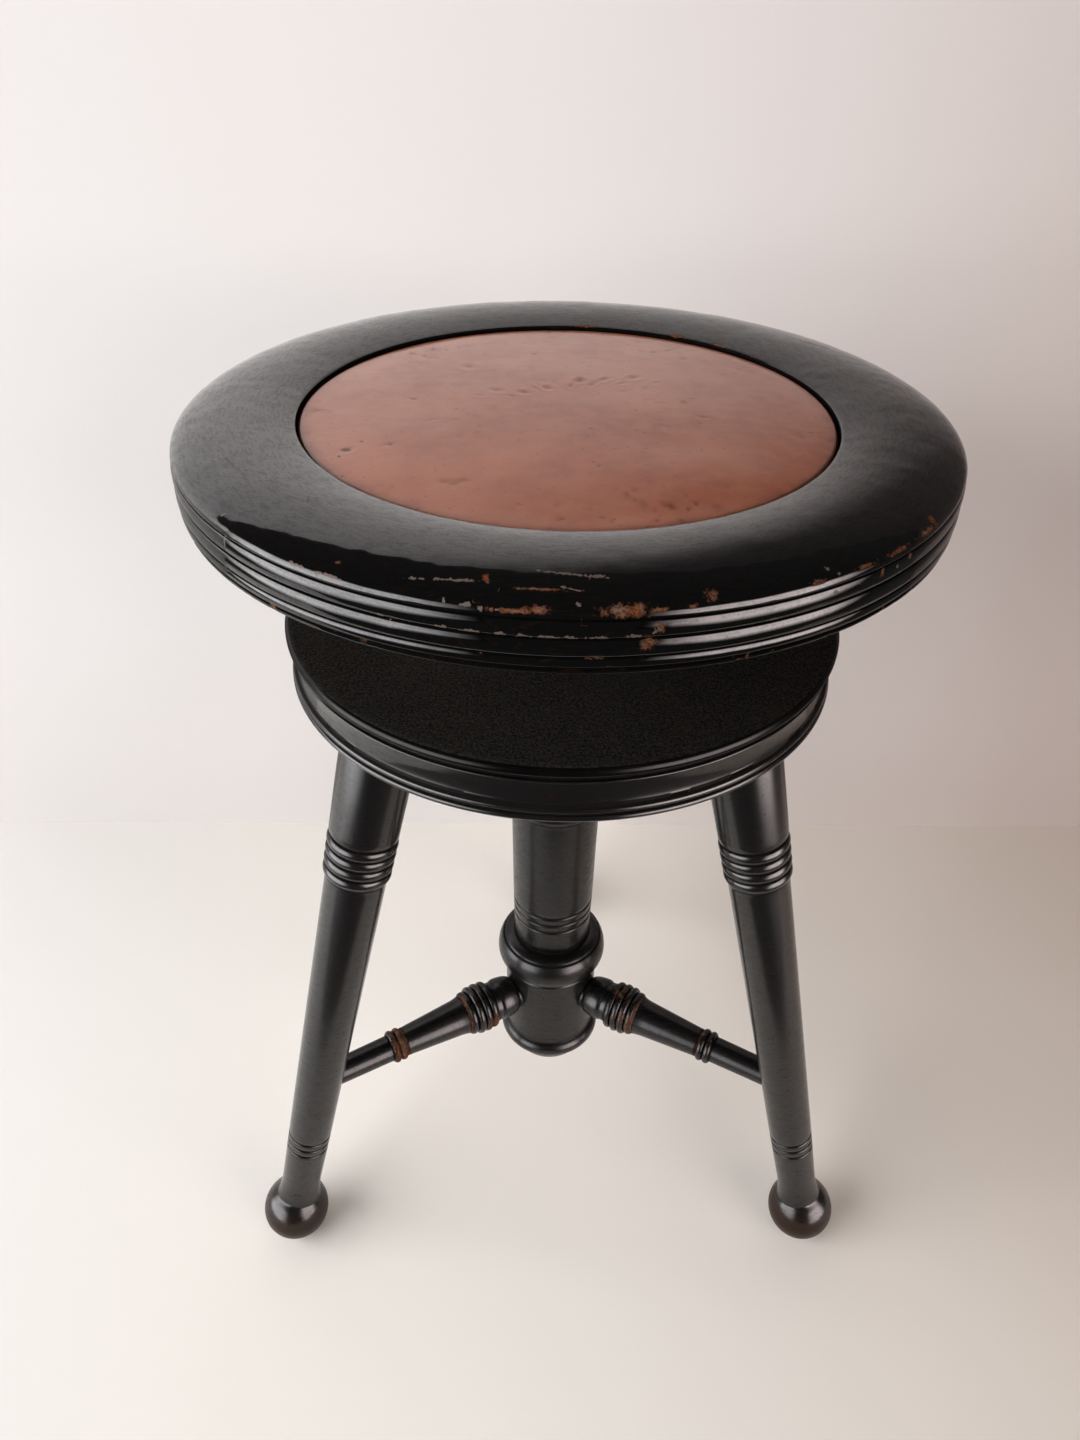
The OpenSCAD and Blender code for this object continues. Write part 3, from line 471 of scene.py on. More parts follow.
knop_top = column_foot + knop_h
knop_mid = column_foot + 0.38 * knop_h
knop_root = 0.97 * boss_r
shoulder_r = 1.05 * column_foot_r
cap_r, cap_h = knop_r - shoulder_r, knop_top - knop_mid
scribe_a = np.radians(scribe_at)
column_line_w = 0.34 * column_line_pitch
reed_tops = column_reeds_z + reed_pitch * np.arange(-1, 3)
column_outline = np.vstack([
    [[column_bore_r, column_foot], [knop_root, column_foot]],
    bow(knop_root, knop_mid, knop_r - knop_root, knop_mid - column_foot, -80, 0),
    bow(shoulder_r, knop_mid, cap_r, cap_h, 6, scribe_at - 3),
    [[shoulder_r + cap_r * scribe_depth_share * np.cos(scribe_a),
      knop_mid + cap_h * scribe_depth_share * np.sin(scribe_a)]],
    bow(shoulder_r, knop_mid, cap_r, cap_h, scribe_at + 3, 90),
    [[column_radius(knop_top) - column_line_w / 2, knop_top],
     [column_radius(knop_top), knop_top + column_line_w]],
    lines_on(column_radius, column_lines_z + column_line_pitch * np.arange(-1, 2), column_line_w),
    reeds_on(column_radius, reed_tops, reed_pitch),
    [[column_radius(reed_tops[3] + reed_pitch / 4), reed_tops[3] + reed_pitch / 4],
     [column_radius(block_z), block_z], [column_hole_r, block_z],
     [column_hole_r, block_top], [column_bore_r, block_top]],
])
column_polish = black_polish("column polish", coat_rough=0.26, rub=0.6, dust=0.08, gloss=0.75, scratch=0.35)
column = turned("column_polished", eased(column_outline, slim_ease, 240, True), 192, True, seed=5)
made_of(column, column_polish, "ebonised_wood", "stand", "column")

# Boss
# The turned end of the column that the three stretchers meet, with a rounded rim and a domed foot. It is
# a piece of its own, glued into the column's bore by a spigot.

boss_low, boss_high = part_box("stretcher_boss")
boss_rim_r = (boss_high.x - boss_low.x) / 2
boss_rim_z, boss_rim_h, boss_dome_h = 101 * mm, 13.5 * mm, 20 * mm
dome_r, waist_r = 0.92 * boss_r, 0.94 * boss_r
spigot_r = column_bore_r - 0.1 * mm
dome_a = np.linspace(0, np.pi / 2, 16)
rim_half = boss_rim_h / 2
boss_outline = np.vstack([
    np.column_stack([dome_r * np.sin(dome_a), boss_rim_z - boss_rim_h - boss_dome_h * np.cos(dome_a)]),
    bow(boss_rim_r - rim_half, boss_rim_z - rim_half, rim_half, rim_half, -78, 60, 20),
    [[boss_r, boss_rim_z], [boss_r, column_foot - 2 * (boss_r - waist_r)], [waist_r, column_foot],
     [spigot_r, column_foot], [spigot_r, boss_high.z], [0, boss_high.z]],
])
boss = turned("stretcher_boss_polished", eased(boss_outline, slim_ease, 130), 192, seed=6)
made_of(boss, column_polish, "ebonised_wood", "stand", "stretcher_boss")

# Legs
# Three splayed turned legs, each with a ball foot, three scribed lines above it and four reeds below the
# block. Their tenons go right through the block and are wedged from above.

leg_low, leg_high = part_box("leg_rear")
leg_angles = {"left": -150, "right": -30, "rear": 90}
ball_r = (leg_high.x - leg_low.x) / 2
foot_reach = leg_high.y - axis_y - ball_r
leg_top_reach = 100.2 * mm
leg_top_r, leg_foot_r = 20.8 * mm, 11.9 * mm
ball_z = ball_r - 2.8 * mm
leg_reeds_z, leg_lines_z, leg_line_pitch = 308 * mm, 86 * mm, 5.5 * mm
leg_lean = np.arctan((foot_reach - leg_top_reach) / (block_z - ball_z))
leg_l = (block_z - ball_z) / np.cos(leg_lean)


def leg_radius(u):
    """Radius of a leg's taper at the length u above the middle of its ball."""
    return leg_foot_r + (leg_top_r - leg_foot_r) * (u - ball_r) / (leg_l - ball_r)


def along_leg(z):
    return (z - ball_z) / np.cos(leg_lean)


flare = 0.16 * leg_foot_r
ball_neck = np.sqrt(ball_r**2 - (leg_foot_r + flare) ** 2)
ball_end = np.degrees(np.arctan2(ball_neck, leg_foot_r + flare))
cove_s = np.linspace(0.1, 1, 9)
cove_u = ball_neck + cove_s * 0.9 * ball_r
leg_line_w = 0.36 * leg_line_pitch
leg_tops = along_leg(leg_reeds_z) + reed_pitch * np.arange(-1, 3)
leg_end = leg_l + leg_top_r * 2
leg_outline = np.vstack([
    [[0, -ball_r]],
    bow(0, 0, ball_r, ball_r, -86, ball_end, 36),
    np.column_stack([leg_radius(cove_u) + flare * (1 - cove_s) ** 2, cove_u]),
    lines_on(leg_radius, along_leg(leg_lines_z) + leg_line_pitch * np.arange(-1, 2), leg_line_w),
    reeds_on(leg_radius, leg_tops, reed_pitch),
    [[leg_radius(leg_tops[3] + reed_pitch / 4), leg_tops[3] + reed_pitch / 4],
     [leg_radius(leg_end), leg_end], [0, leg_end]],
])
leg_outline = eased(leg_outline, slim_ease, 230)


def swung(out, side, up, angle):
    """Points out from the stool's axis, to the side and up, swung round the axis by that angle."""
    swing = np.radians(angle)
    x = out * np.cos(swing) - side * np.sin(swing)
    y = out * np.sin(swing) + side * np.cos(swing)
    return on_axis(np.stack([x, y, up], -1))


def stood(points, angle):
    """Puts a leg drawn upright in its place: leant out, swung round the axis, and cut off level at the
    floor and at the underside of the block, where points slide along the leg to the plane."""
    out = foot_reach + points[..., 0] * np.cos(leg_lean) - points[..., 2] * np.sin(leg_lean)
    up = ball_z + points[..., 0] * np.sin(leg_lean) + points[..., 2] * np.cos(leg_lean)
    over = np.maximum(up - block_z, 0)
    return swung(out + over * np.tan(leg_lean), points[..., 1], np.maximum(up - over, 0), angle)


leg_polish = black_polish("leg polish", coat_rough=0.19, rub=0.55, dust=0.06, brown_below=40 * mm)
for side, angle in leg_angles.items():
    leg = turned("leg_" + side + "_polished", leg_outline, 128, seed=angle + 200,
                 place=lambda p: stood(p, angle))
    made_of(leg, leg_polish, "ebonised_wood", "stand", "leg_" + side)

# Stretchers
# Three turned rails between the boss and the legs, with a neck, four reeds, a taper and two rings. Feet
# have rubbed the polish off their high places.

stretcher_z = 135.5 * mm
stretcher_reed_r, stretcher_neck_r, stretcher_taper_r = 16 * mm, 13.7 * mm, 12.6 * mm
stretcher_end_r, stretcher_ring_r = 7.9 * mm, 10.4 * mm
stretcher_sink = 4 * mm
leg_reach_here = foot_reach - (stretcher_z - ball_z) * np.tan(leg_lean)
leg_r_here = leg_radius(along_leg(stretcher_z))
clear_l = leg_reach_here - leg_r_here - boss_r
neck_end, reeds_end = boss_r + 0.142 * clear_l, boss_r + 0.297 * clear_l
rings_start, rings_end = boss_r + 0.656 * clear_l, boss_r + 0.731 * clear_l
reed_w, ring_w = (reeds_end - neck_end) / 4, (rings_end - rings_start) / 2
valley_r = stretcher_reed_r - reed_w / 2
neck_mid = boss_r + 0.62 * (neck_end - boss_r)
neck_root = 0.77 * stretcher_neck_r
thin_r, swell_r = 1.13 * stretcher_end_r, 1.05 * stretcher_end_r
cove_end, rail_end = 0.16, leg_reach_here - 0.4 * leg_r_here
cove_x = reeds_end + np.linspace(0, cove_end, 7) * (rings_start - reeds_end)
taper_share = (cove_x - reeds_end) / (rings_start - reeds_end)
taper_start = 0.95 * stretcher_taper_r
reed_top_shares = (0.97, 1, 0.985, 0.89)
stretcher_outline = np.vstack([
    [[0, boss_r - stretcher_sink], [neck_root, boss_r - stretcher_sink], [neck_root, boss_r]],
    bow(neck_root, neck_mid, stretcher_neck_r - neck_root, neck_mid - boss_r, -75, 0),
    bow(0, neck_mid, stretcher_neck_r, neck_end - neck_mid, 10, 22, 2),
    np.vstack([
        bow(valley_r * share, neck_end + (k + 0.5) * reed_w, (stretcher_reed_r - valley_r) * share,
            reed_w / 2, -90, 90, 8)
        for k, share in enumerate(reed_top_shares)
    ]),
    np.column_stack([
        taper_start + (thin_r - taper_start) * taper_share
        + 0.06 * stretcher_taper_r * (1 - taper_share / cove_end) ** 2,
        cove_x,
    ]),
    [[thin_r, rings_start]],
    np.vstack([
        bow(stretcher_ring_r - ring_w / 2, middle, ring_w / 2, ring_w / 2, -80, 80, 8)
        for middle in (rings_start + ring_w / 2, rings_end - ring_w / 2)
    ]),
    [[swell_r, rings_end], [stretcher_end_r, leg_reach_here - leg_r_here],
     [stretcher_end_r, rail_end], [0, rail_end]],
])
stretcher_outline = eased(stretcher_outline, slim_ease, 200)


def laid(points, angle):
    """Lays a stretcher drawn upright level at its height, pointing outwards at that angle."""
    return swung(points[..., 2], points[..., 1], stretcher_z - points[..., 0], angle)


stretcher_polish = black_polish("stretcher polish", coat_rough=0.27, rub=1.35, gloss=0.8, film=0.9)
for side, angle in leg_angles.items():
    rail = turned("stretcher_" + side + "_polished", stretcher_outline, 96, seed=angle + 300,
                  place=lambda p: laid(p, angle), scuffs=0.7)
    made_of(rail, stretcher_polish, "ebonised_wood", "stand", "stretcher_" + side)

# Seat ring
# The broad turned rim of the seat: a rounded crown, a sharp lip, two reeds, a small reed and a fillet.
# It is the most handled part, chipped and worn through along the lip.

ring_low, ring_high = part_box("seat_ring")
seat_z, crest_z = ring_low.z, ring_high.z
seat_r = (ring_high.x - ring_low.x) / 2
opening_r = seat_r - 54.5 * mm
base_r = opening_r + 16.5 * mm
base_top = seat_z + 12 * mm
lip_z = crest_z - 8 * mm
inner_drop, inner_round = 3.2 * mm, 1.2 * mm
reed_h, small_reed_h, reed_depth, lip_t = 7.4 * mm, 4.5 * mm, 2 * mm, 1.6 * mm
quirk_r, lip_r = seat_r - reed_depth, seat_r - reed_depth / 4
crest_r = opening_r + 0.48 * (seat_r - opening_r)
small_r = quirk_r + reed_depth / 4
reed1_z = lip_z - lip_t
reed2_z = reed1_z - reed_h
small_z = reed2_z - reed_h
fillet_z = small_z - small_reed_h
inner_z = crest_z - inner_drop
crown_s = np.linspace(1, 0.08, 12)
nick_depth, crown_fade = 0.4 * mm, 2 * mm


def flat_reed(r, top, h, depth, power=3.4):
    """A reed with a flat face, h high below top: |x / depth|^power + |2z / h|^power = 1."""
    a = np.radians(np.linspace(-90, 90, 29))
    x, z = np.cos(a) ** (2 / power), np.sign(np.sin(a)) * np.abs(np.sin(a)) ** (2 / power)
    return np.column_stack([r + depth * x, top - h / 2 + z * h / 2])


ring_outline = np.vstack([
    [[base_r, seat_z], [small_r, seat_z], [small_r, fillet_z]],
    flat_reed(quirk_r, small_z, small_reed_h, 0.75 * reed_depth),
    flat_reed(quirk_r, reed2_z, reed_h, reed_depth),
    flat_reed(quirk_r, reed1_z, reed_h, reed_depth),
    [[quirk_r + reed_depth / 4, reed1_z], [lip_r, reed1_z + 0.3 * mm]],
    bow(crest_r, lip_z, lip_r - crest_r, crest_z - lip_z, 0, 88, 30),
    np.column_stack([
        opening_r + inner_round + crown_s * (crest_r - opening_r - inner_round),
        crest_z - inner_drop * (1 - crown_s) ** 2,
    ]),
    bow(opening_r + inner_round, inner_z - inner_round, inner_round, inner_round, 110, 180),
    [[opening_r, base_top], [base_r, base_top]],
])
ring_rows = eased(ring_outline, 0.25 * mm, 168, True)

# Places worn or chipped through to the wood: turn, radius, height, half length, half width, half height,
# skew, and the depth that the wood itself is broken away
ring_bare = [
    (-85.3, 176.8, 528.3, 7.4, 2.4, 1.9, 0, 0.45), (-81.9, 176.9, 528.2, 3, 1, 0.8, 0, 0.1),
    (-97, 177.3, 527.6, 9, 1, 0.8, 0, 0.2), (-94.9, 176.9, 528, 3, 1.6, 1.3, 0, 0.3),
    (-101.2, 166.8, 532.8, 1, 1.9, 1.2, 20, 0.1), (-95, 169.5, 532.1, 6.6, 0.6, 0.7, 0, 0),
    (-81.4, 178, 521.6, 1.6, 1.2, 1.5, 0, 0.15), (-82.5, 177.9, 515.9, 2.2, 1.4, 2.2, 0, 0.2),
    (-75.4, 174.2, 530.4, 1.9, 2.6, 1.6, 0, 0.3), (-77.8, 176.9, 528.3, 1.5, 0.9, 0.7, 0, 0.1),
    (-62, 176.8, 528.4, 2.6, 1.1, 0.9, 0, 0.3), (-54.4, 176.8, 528.3, 4.6, 0.9, 0.8, 0, 0.2),
    (-48.2, 176.8, 528.3, 6, 1, 0.9, 0, 0.3), (-41, 176.7, 528.4, 7.4, 1.2, 1, 0, 0.4),
    (-38.6, 174.9, 529.9, 2.2, 1.8, 1.2, 0, 0.3), (-45.6, 177.8, 523.6, 1.2, 1, 0.9, 0, 0.2),
    (-51.4, 177.8, 523.3, 1, 1, 1.3, 0, 0.2),
    (-119.4, 172.2, 531.2, 0.9, 0.8, 0.7, 0, 0.1), (60, 124.6, 531.4, 5, 0.9, 0.8, 0, 0.2),
    (48, 124.7, 531.4, 4, 0.8, 0.7, 0, 0.2), (38, 124.6, 531.4, 1.6, 0.9, 0.9, 0, 0.2),
    (84, 124.6, 531.4, 6, 0.7, 0.7, 0, 0.1), (128, 177, 528, 5, 1.1, 0.9, 0, 0.2),
    (152, 177.1, 527.8, 3, 1, 0.8, 0, 0.3), (14, 177, 528, 6, 1.2, 0.9, 0, 0.3),
    (77, 177.9, 520.6, 1.6, 1.2, 1.6, 0, 0.4), (-171, 177.9, 514.6, 1.4, 1.2, 1.4, 0, 0.4),
]
# Places scuffed pale: the same without the depth
ring_pale = [
    (-102.9, 177, 528, 1.7, 1.2, 0.8, 0), (-105.2, 176.6, 528.3, 0.6, 0.8, 1.4, 0),
    (-101.2, 177.2, 527.6, 1.6, 0.9, 0.8, 0), (-99.3, 177.3, 527.5, 0.9, 0.9, 0.7, 0),
    (-105.6, 169.3, 531.9, 12, 0.7, 1.6, 8), (-91.4, 161.2, 533.8, 11.5, 0.9, 0.9, -8.8),
    (-88.3, 162.4, 533.6, 3.5, 1.2, 0.9, -8), (-91.2, 168.9, 532.2, 5, 0.5, 0.8, -17),
    (-90.4, 174.9, 529.8, 1, 0.9, 0.8, 0), (-96.5, 177.6, 518.4, 2.2, 1, 0.8, 0),
    (-94, 177.6, 518.4, 3.8, 1, 0.7, 0), (-88.4, 177.6, 518.6, 4.4, 1, 0.8, 0),
    (-84.4, 177.6, 518.6, 3.6, 1, 0.9, 0), (-102, 177.6, 518.4, 5, 1, 0.7, 0),
    (-82, 177.9, 520.4, 1.2, 1, 1.2, 0), (-99, 177.6, 518.5, 2, 1, 0.9, 0),
    (-91.2, 177.6, 518.4, 2.4, 1, 0.9, 0), (-105.5, 177.6, 518.4, 1.5, 1, 0.8, 0),
    (-59.9, 173.4, 530.7, 0.9, 0.9, 0.8, 0),
    (-58.8, 176.2, 529, 0.8, 0.8, 0.8, 0), (-59.3, 177.9, 522.4, 1.1, 1, 1.1, 0),
    (-55.5, 177.9, 522.9, 0.8, 1, 1, 0), (-48.4, 177.9, 522.4, 0.8, 1, 0.9, 0),
    (-153.2, 156.5, 534.2, 12, 0.55, 0.9, 5.5), (-149.6, 155.6, 534.3, 1.6, 1.1, 0.9, 0),
    (-145.5, 156.3, 534.2, 9.5, 0.5, 0.9, -5.9), (-147.2, 151, 534.4, 7, 0.4, 0.9, 37),
    (-139.6, 153.2, 534.4, 3.2, 0.8, 0.9, 10), (-119.8, 177, 528, 6, 0.6, 0.6, 0),
    (-124.5, 177.1, 527.9, 4, 0.6, 0.6, 0), (-135.3, 150, 534.5, 6, 0.4, 0.9, 12),
    (-133.3, 148.2, 534.5, 3.6, 0.45, 0.9, 50), (-133, 148.4, 534.5, 4.2, 0.45, 0.9, -40),
    (-121.5, 152.5, 534.5, 1.5, 0.6, 0.9, 0), (-138, 177.7, 523.3, 0.5, 1, 3, 0),
    (-140, 174.2, 530.2, 2.6, 0.5, 0.8, 60), (-68, 177.6, 518.4, 3, 0.9, 0.6, 0),
    (-73, 176.9, 511.2, 2.2, 0.9, 0.6, 0), (-113, 177.6, 518.4, 2.4, 0.9, 0.6, 0),
    (35, 158, 534.1, 14, 0.5, 0.9, 12), (96, 165, 533, 9, 0.5, 0.9, -14),
]


def spread(name, points, marks, reach=8, far=9.0):
    """Spreads marks over layers, as named vectors per point: the point's place in the nearest mark, in that
    mark's half length, width and height. The marks of a layer lie more than reach mm apart, and points
    farther than that from all of them hold a long vector."""
    layers = []
    for turn, r, z, half_l, half_w, half_h, skew, *_ in marks:
        a, b = np.radians(turn), np.radians(turn + 90 + skew)
        off = points / mm - np.array([r * np.cos(a), r * np.sin(a), z])
        along = off[..., 0] * np.cos(b) + off[..., 1] * np.sin(b)
        across = off[..., 1] * np.cos(b) - off[..., 0] * np.sin(b)
        half = np.array([half_l, half_w, half_h])
        local = np.stack([along, across, off[..., 2]], -1) / half
        gap = np.linalg.norm(np.maximum(np.abs(local) - 1, 0) * half, axis=-1)
        near = gap < reach
        layer = next((layer for layer in layers if not (layer[1] & (gap < 2 * reach)).any()), None)
        if layer is None:
            layer = [np.full(points.shape, far), np.zeros(points.shape[:2], bool)]
            layers.append(layer)
        layer[0][near] = local[near]
        layer[1][near] = True
    return {name + str(k): vectors for k, (vectors, _) in enumerate(layers)}


points, normals, ring_turns, ring_lathe = lathed(ring_rows, 580, True)
bare_marks, pale_marks = spread("bare", points, ring_bare), spread("pale", points, ring_pale)
ragged = clouds(points, (0.6, 2.2, 21), (0.4, 5.5, 22))
sink = np.zeros(points.shape[:2])
for turn, r, z, half_l, half_w, half_h, _, depth in ring_bare:
    swing = (ring_turns - np.radians(turn) + np.pi) % (2 * np.pi) - np.pi
    round_way = (swing * r / half_l)[None, :]
    out_way = ((ring_rows[:, 0] / mm - r) / half_w)[:, None]
    up_way = ((ring_rows[:, 1] / mm - z) / half_h)[:, None]
    reach = round_way**2 + out_way**2 + up_way**2
    sink = np.maximum(sink, depth * mm * np.clip(np.exp(-reach) * (1.8 + 0.8 * ragged) - 0.5, 0, 1))
ring_edge, ring_hollow = bends(ring_rows, edge_reach, True)
under_ring = (ring_rows[:, 1] < seat_z + 0.4 * mm) & (ring_rows[:, 0] < small_r - 0.6 * mm)
# The underside and the wall of the opening were left without polish, so they are as dull as a hollow
ring_hollow = np.where((ring_rows[:, 0] < opening_r + 0.15 * mm) | under_ring, 1, ring_hollow)
nicks = np.clip(clouds(points, (1.4, 3.0, 23), (0.5, 40, 24)) - 0.85, 0, 1)
nicks *= np.clip(ring_edge - 0.25, 0, 1)[:, None]
sink = sink + nicks * nick_depth
points = points - normals * sink[..., None]
dents = clouds(points, (0.10 * mm, 24, 25), (0.03 * mm, 9, 26))
on_crown = np.clip((ring_rows[:, 1] - lip_z) / crown_fade, 0, 1)[:, None]
dents = dents + on_crown * clouds(points, (0.09 * mm, 15, 27), (0.05 * mm, 5.5, 28))
points = points + normals * dents[..., None]
seat_ring = woven("seat_ring_polished", on_axis(points), True,
                  edge=ring_edge[:, None], hollow=ring_hollow[:, None], worn=np.clip(nicks * 2.5, 0, 0.7),
                  lathe=ring_lathe, **bare_marks, **pale_marks)
ring_polish = black_polish("ring polish", coat_rough=0.06, rub=0.42, scratch=0.35, ground=0,
                           bare_layers=len(bare_marks), pale_layers=len(pale_marks))
made_of(seat_ring, ring_polish, "ebonised_wood", "seat", "seat_ring")

# Leather pad
# A board stuffed with wadding under one round of red-brown leather, domed, with its edge rolled down into
# the ring. Use has polished it and left pits, creases and darker spots.

pad_low, pad_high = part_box("leather_cover")
pad_r = (pad_high.x - pad_low.x) / 2
pad_edge_z = pad_high.z - 4 * mm
pad_round, pad_crown = 2.4 * mm, 4 * mm
leather_coat_rough, leather_shine = 0.15, 0.08
leather_red = (0.358, 0.085, 0.026, 1)
leather_dark = (0.300, 0.068, 0.021, 1)
leather_tan = (0.398, 0.105, 0.037, 1)
# The darkest brown serves both the stains and the painted shade round the pad's edge.
leather_stain_and_shade = (0.085, 0.028, 0.018, 1)
leather_pit = (0.070, 0.026, 0.017, 1)
board_r, board_z = pad_r - 1.4 * mm, pad_low.z + 6 * mm
pad_s = np.linspace(0, 1, 90)
flat_r = pad_r - pad_round
top_fade, pit_depth = 0.6 * mm, 0.8 * mm
tan_size, mottle_size, grain_size = 60 * mm, 9 * mm, 0.7 * mm
speck_size, spot_size, cell_size = 1.6 * mm, 3.2 * mm, 7 * mm
pad_outline = np.vstack([
    [[0, board_z], [board_r, board_z], [board_r, pad_low.z], [pad_r, pad_low.z]],
    bow(flat_r, pad_edge_z - pad_round, pad_round, pad_round, 0, 84, 14),
    np.column_stack([flat_r * (1 - pad_s), pad_edge_z + pad_crown * (1 - (1 - pad_s) ** 2)])[2:],
])
pad_rows = eased(pad_outline, 0.5 * mm, 210)

# Stains on the leather, given as the marks on the ring are
pad_stains = [
    (-152.2, 107.4, 533, 3.4, 2.6, 4, 20), (-149.1, 89.7, 534, 2.2, 1.4, 4, 0),
    (-155, 99, 533, 1.4, 1.2, 4, 0), (-12, 62.4, 536, 1.2, 1, 4, 0),
    (-150, 112.5, 532, 1.6, 1, 4, 0), (20, 96, 534, 1.8, 1.3, 4, 30),
    (102, 74, 535, 2, 1.2, 4, 10),
]
# Hollows pressed into it: x and y from the middle, radius and depth
pad_hollows = [(-41, 9, 1.6, 0.2), (-33, 16, 2.6, 0.3), (-26, 8, 1.4, 0.3), (-20, 13, 2.4, 0.4),
               (-16, 20, 1.3, 0.3), (-9, 19, 2.2, 0.45), (-6, 27, 1.5, 0.25), (2, 22, 1.4, 0.35),
               (7, 30, 2.6, 0.5), (13, 25, 1.3, 0.3), (19, 33, 2, 0.45), (27, 28, 1.5, 0.3),
               (33, 37, 2.6, 0.35), (44, 31, 1.6, 0.25), (-95, -50, 2.2, 0.4), (-77, -46, 1.8, 0.35),
               (61, -13, 1.6, 0.3), (-48, 52, 3.5, 0.25), (12, -34, 1.3, 0.3), (-60, -20, 1.4, 0.25)]
points, normals, _, _ = lathed(pad_rows, 420)
stains = spread("stain", points, pad_stains)
top = np.clip((points[..., 2] - pad_edge_z) / top_fade, 0, 1)
swell = clouds(points, (0.30 * mm, 38, 31), (0.09 * mm, 12, 32))
pits = np.clip(cloud(points, 3.4 * mm, 33) - 0.55, 0, 1) * np.clip(cloud(points, 26 * mm, 34) + 0.35, 0, 1)
for x, y, r, depth in pad_hollows:
    away = np.hypot(points[..., 0] - x * mm, points[..., 1] - y * mm) / (r * mm)
    swell = swell - depth * mm * np.exp(-(away**2)) + 0.4 * depth * mm * np.exp(-((away - 1.7) ** 2) * 4)
    pits = np.maximum(pits, 0.4 * depth * np.exp(-((away * 1.4) ** 2)))
points = points + normals * (top * (swell - pit_depth * pits))[..., None]
pad = woven("leather_pad", on_axis(points), pits=pits * 3, **stains)


def leather(name):
    """Smooth red-brown leather: mottled colour, darker in the pits and the stains, with painted shade round
    the edge where it rolls down into the ring, a fine grain, creases that branch, and a polish from use."""
    material, shader, w = begun(name)
    pits = w.mark("pits")
    broad, mottle, grain = w.noise(tan_size, 3.0), w.noise(mottle_size, 4.0), w.noise(grain_size, 3.0)
    specks = w.noise(speck_size)
    colour = mottle.step(0.3, 0.7).paint(leather_red, leather_dark)
    colour = broad.step(0.38, 0.68).paint(colour, leather_tan)
    spots = w.noise(spot_size).step(0.66, 0.74) * 0.5
    spots = spots.larger(specks.step(0.70, 0.76) * mottle.step(0.4, 0.6) * 0.7)
    spots = spots.larger((inside(w, "stain", len(stains)) + (mottle - 0.5) * 1.4).step(-0.1, 0.4) * 0.9)
    colour = spots.paint(colour, leather_stain_and_shade)
    colour = (pits * 0.7).paint(colour, leather_pit)
    level = w.vectors("MULTIPLY", w.vectors("SUBTRACT", w.at(), (0, axis_y, 0)), (1, 1, 0))
    out = w.vectors("LENGTH", level, out=1)
    # Round its edge the leather is painted darker: a narrow band of painted shade where it rolls down into
    # the ring, and a wider, fainter band of dirt and painted shade.
    rim_shade = (out + mottle * 1.2 * mm).step(pad_r - 1.2 * mm, pad_r + 0.4 * mm) * 0.8
    rim_shade = rim_shade.larger((out + mottle * 6 * mm).step(pad_r - 5 * mm, pad_r + 5 * mm) * 0.5)
    colour = rim_shade.paint(colour, leather_stain_and_shade)
    cells = w.node("TexVoronoi", {"feature": "DISTANCE_TO_EDGE"},
                   {"Vector": w.at(stretch=(1, 1.6, 1)), "Scale": 1 / cell_size})
    creases = cells.step(0.06, 0.0) * broad.step(0.45, 0.65)
    folds = w.noise(1.0, 3.0, w.at((0, 0, 0.12), (45, 210, 210)))
    height = grain * 0.3 + mottle * 0.5 + folds * 1.1 - creases * 0.6 - spots * 0.4
    bumped = height.bump(0.4, 0.3 * mm)
    rough = 0.44 + mottle * 0.12 + pits * 0.2
    coat = (0.78 - pits * 0.5 - spots * 0.25 + broad.step(0.3, 0.7) * 0.1) * (1 - rim_shade * 0.6)
    plug(shader, Base_Color=colour, Roughness=rough, Coat_Weight=coat, Normal=bumped)
    plug(shader, Coat_Roughness=leather_coat_rough, Specular_IOR_Level=leather_shine)
    return material


made_of(pad, leather("pad leather"), "seat_leather", "seat", "leather_cover", "pad_stuffing")

# Seat base and pad board
# Two round beech boards, left bare: one let into the underside of the ring, the other under the stuffing.
# The screws that hold them are driven up from below.

wood_pale = (0.42, 0.255, 0.140, 1)
wood_aged = (0.27, 0.150, 0.080, 1)
wood_pore = (0.105, 0.060, 0.034, 1)
soot = (0.050, 0.042, 0.036, 1)
beech_shine = 0.1


def bare_beech(name, turn=0.0):
    """Bare aged beech: grain lines along one way, short dark flecks in it, and dirt that darkens it."""
    material, shader, w = begun(name)
    wide, dirt = w.noise(45 * mm), w.noise(30 * mm, 4.0)
    grain = w.noise(1.0, 3.0, w.at((0, 0, turn), (14, 420, 420)))
    flecks = w.noise(1.0, 1.0, w.at((0, 0, turn), (160, 1500, 1500))).step(0.68, 0.76)
    colour = (grain * 0.8 + wide * 0.3).step(0.35, 0.8).paint(wood_pale, wood_aged)
    colour = (flecks * 0.6).paint(colour, wood_pore)
    colour = (dirt.step(0.45, 0.8) * 0.5).paint(colour, soot)
    bumped = (grain - flecks * 0.6).bump(0.4, 0.2 * mm)
    plug(shader, Base_Color=colour, Roughness=0.62 + grain * 0.15, Normal=bumped)
    plug(shader, Specular_IOR_Level=beech_shine)
    return material


def dress(material, *nodes):
    """Gives the solids of CAD nodes, which stay as they are, a better material."""
    for node in nodes:
        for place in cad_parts[node].material_slots:
            place.material = material


dress(bare_beech("base beech"), "seat_base", "leg_wedges")
dress(bare_beech("pad board beech", 1.2), "pad_board")

# Ironwork
# Cast iron flange, nut and stop collar, japanned black and worn where they rub, with steel wood screws and
# cross pins.

iron_black = (0.018, 0.016, 0.015, 1)
iron_worn = (0.17, 0.155, 0.145, 1)
steel_grey = (0.33, 0.31, 0.285, 1)
steel_dull = (0.15, 0.135, 0.120, 1)
rust = (0.155, 0.058, 0.022, 1)


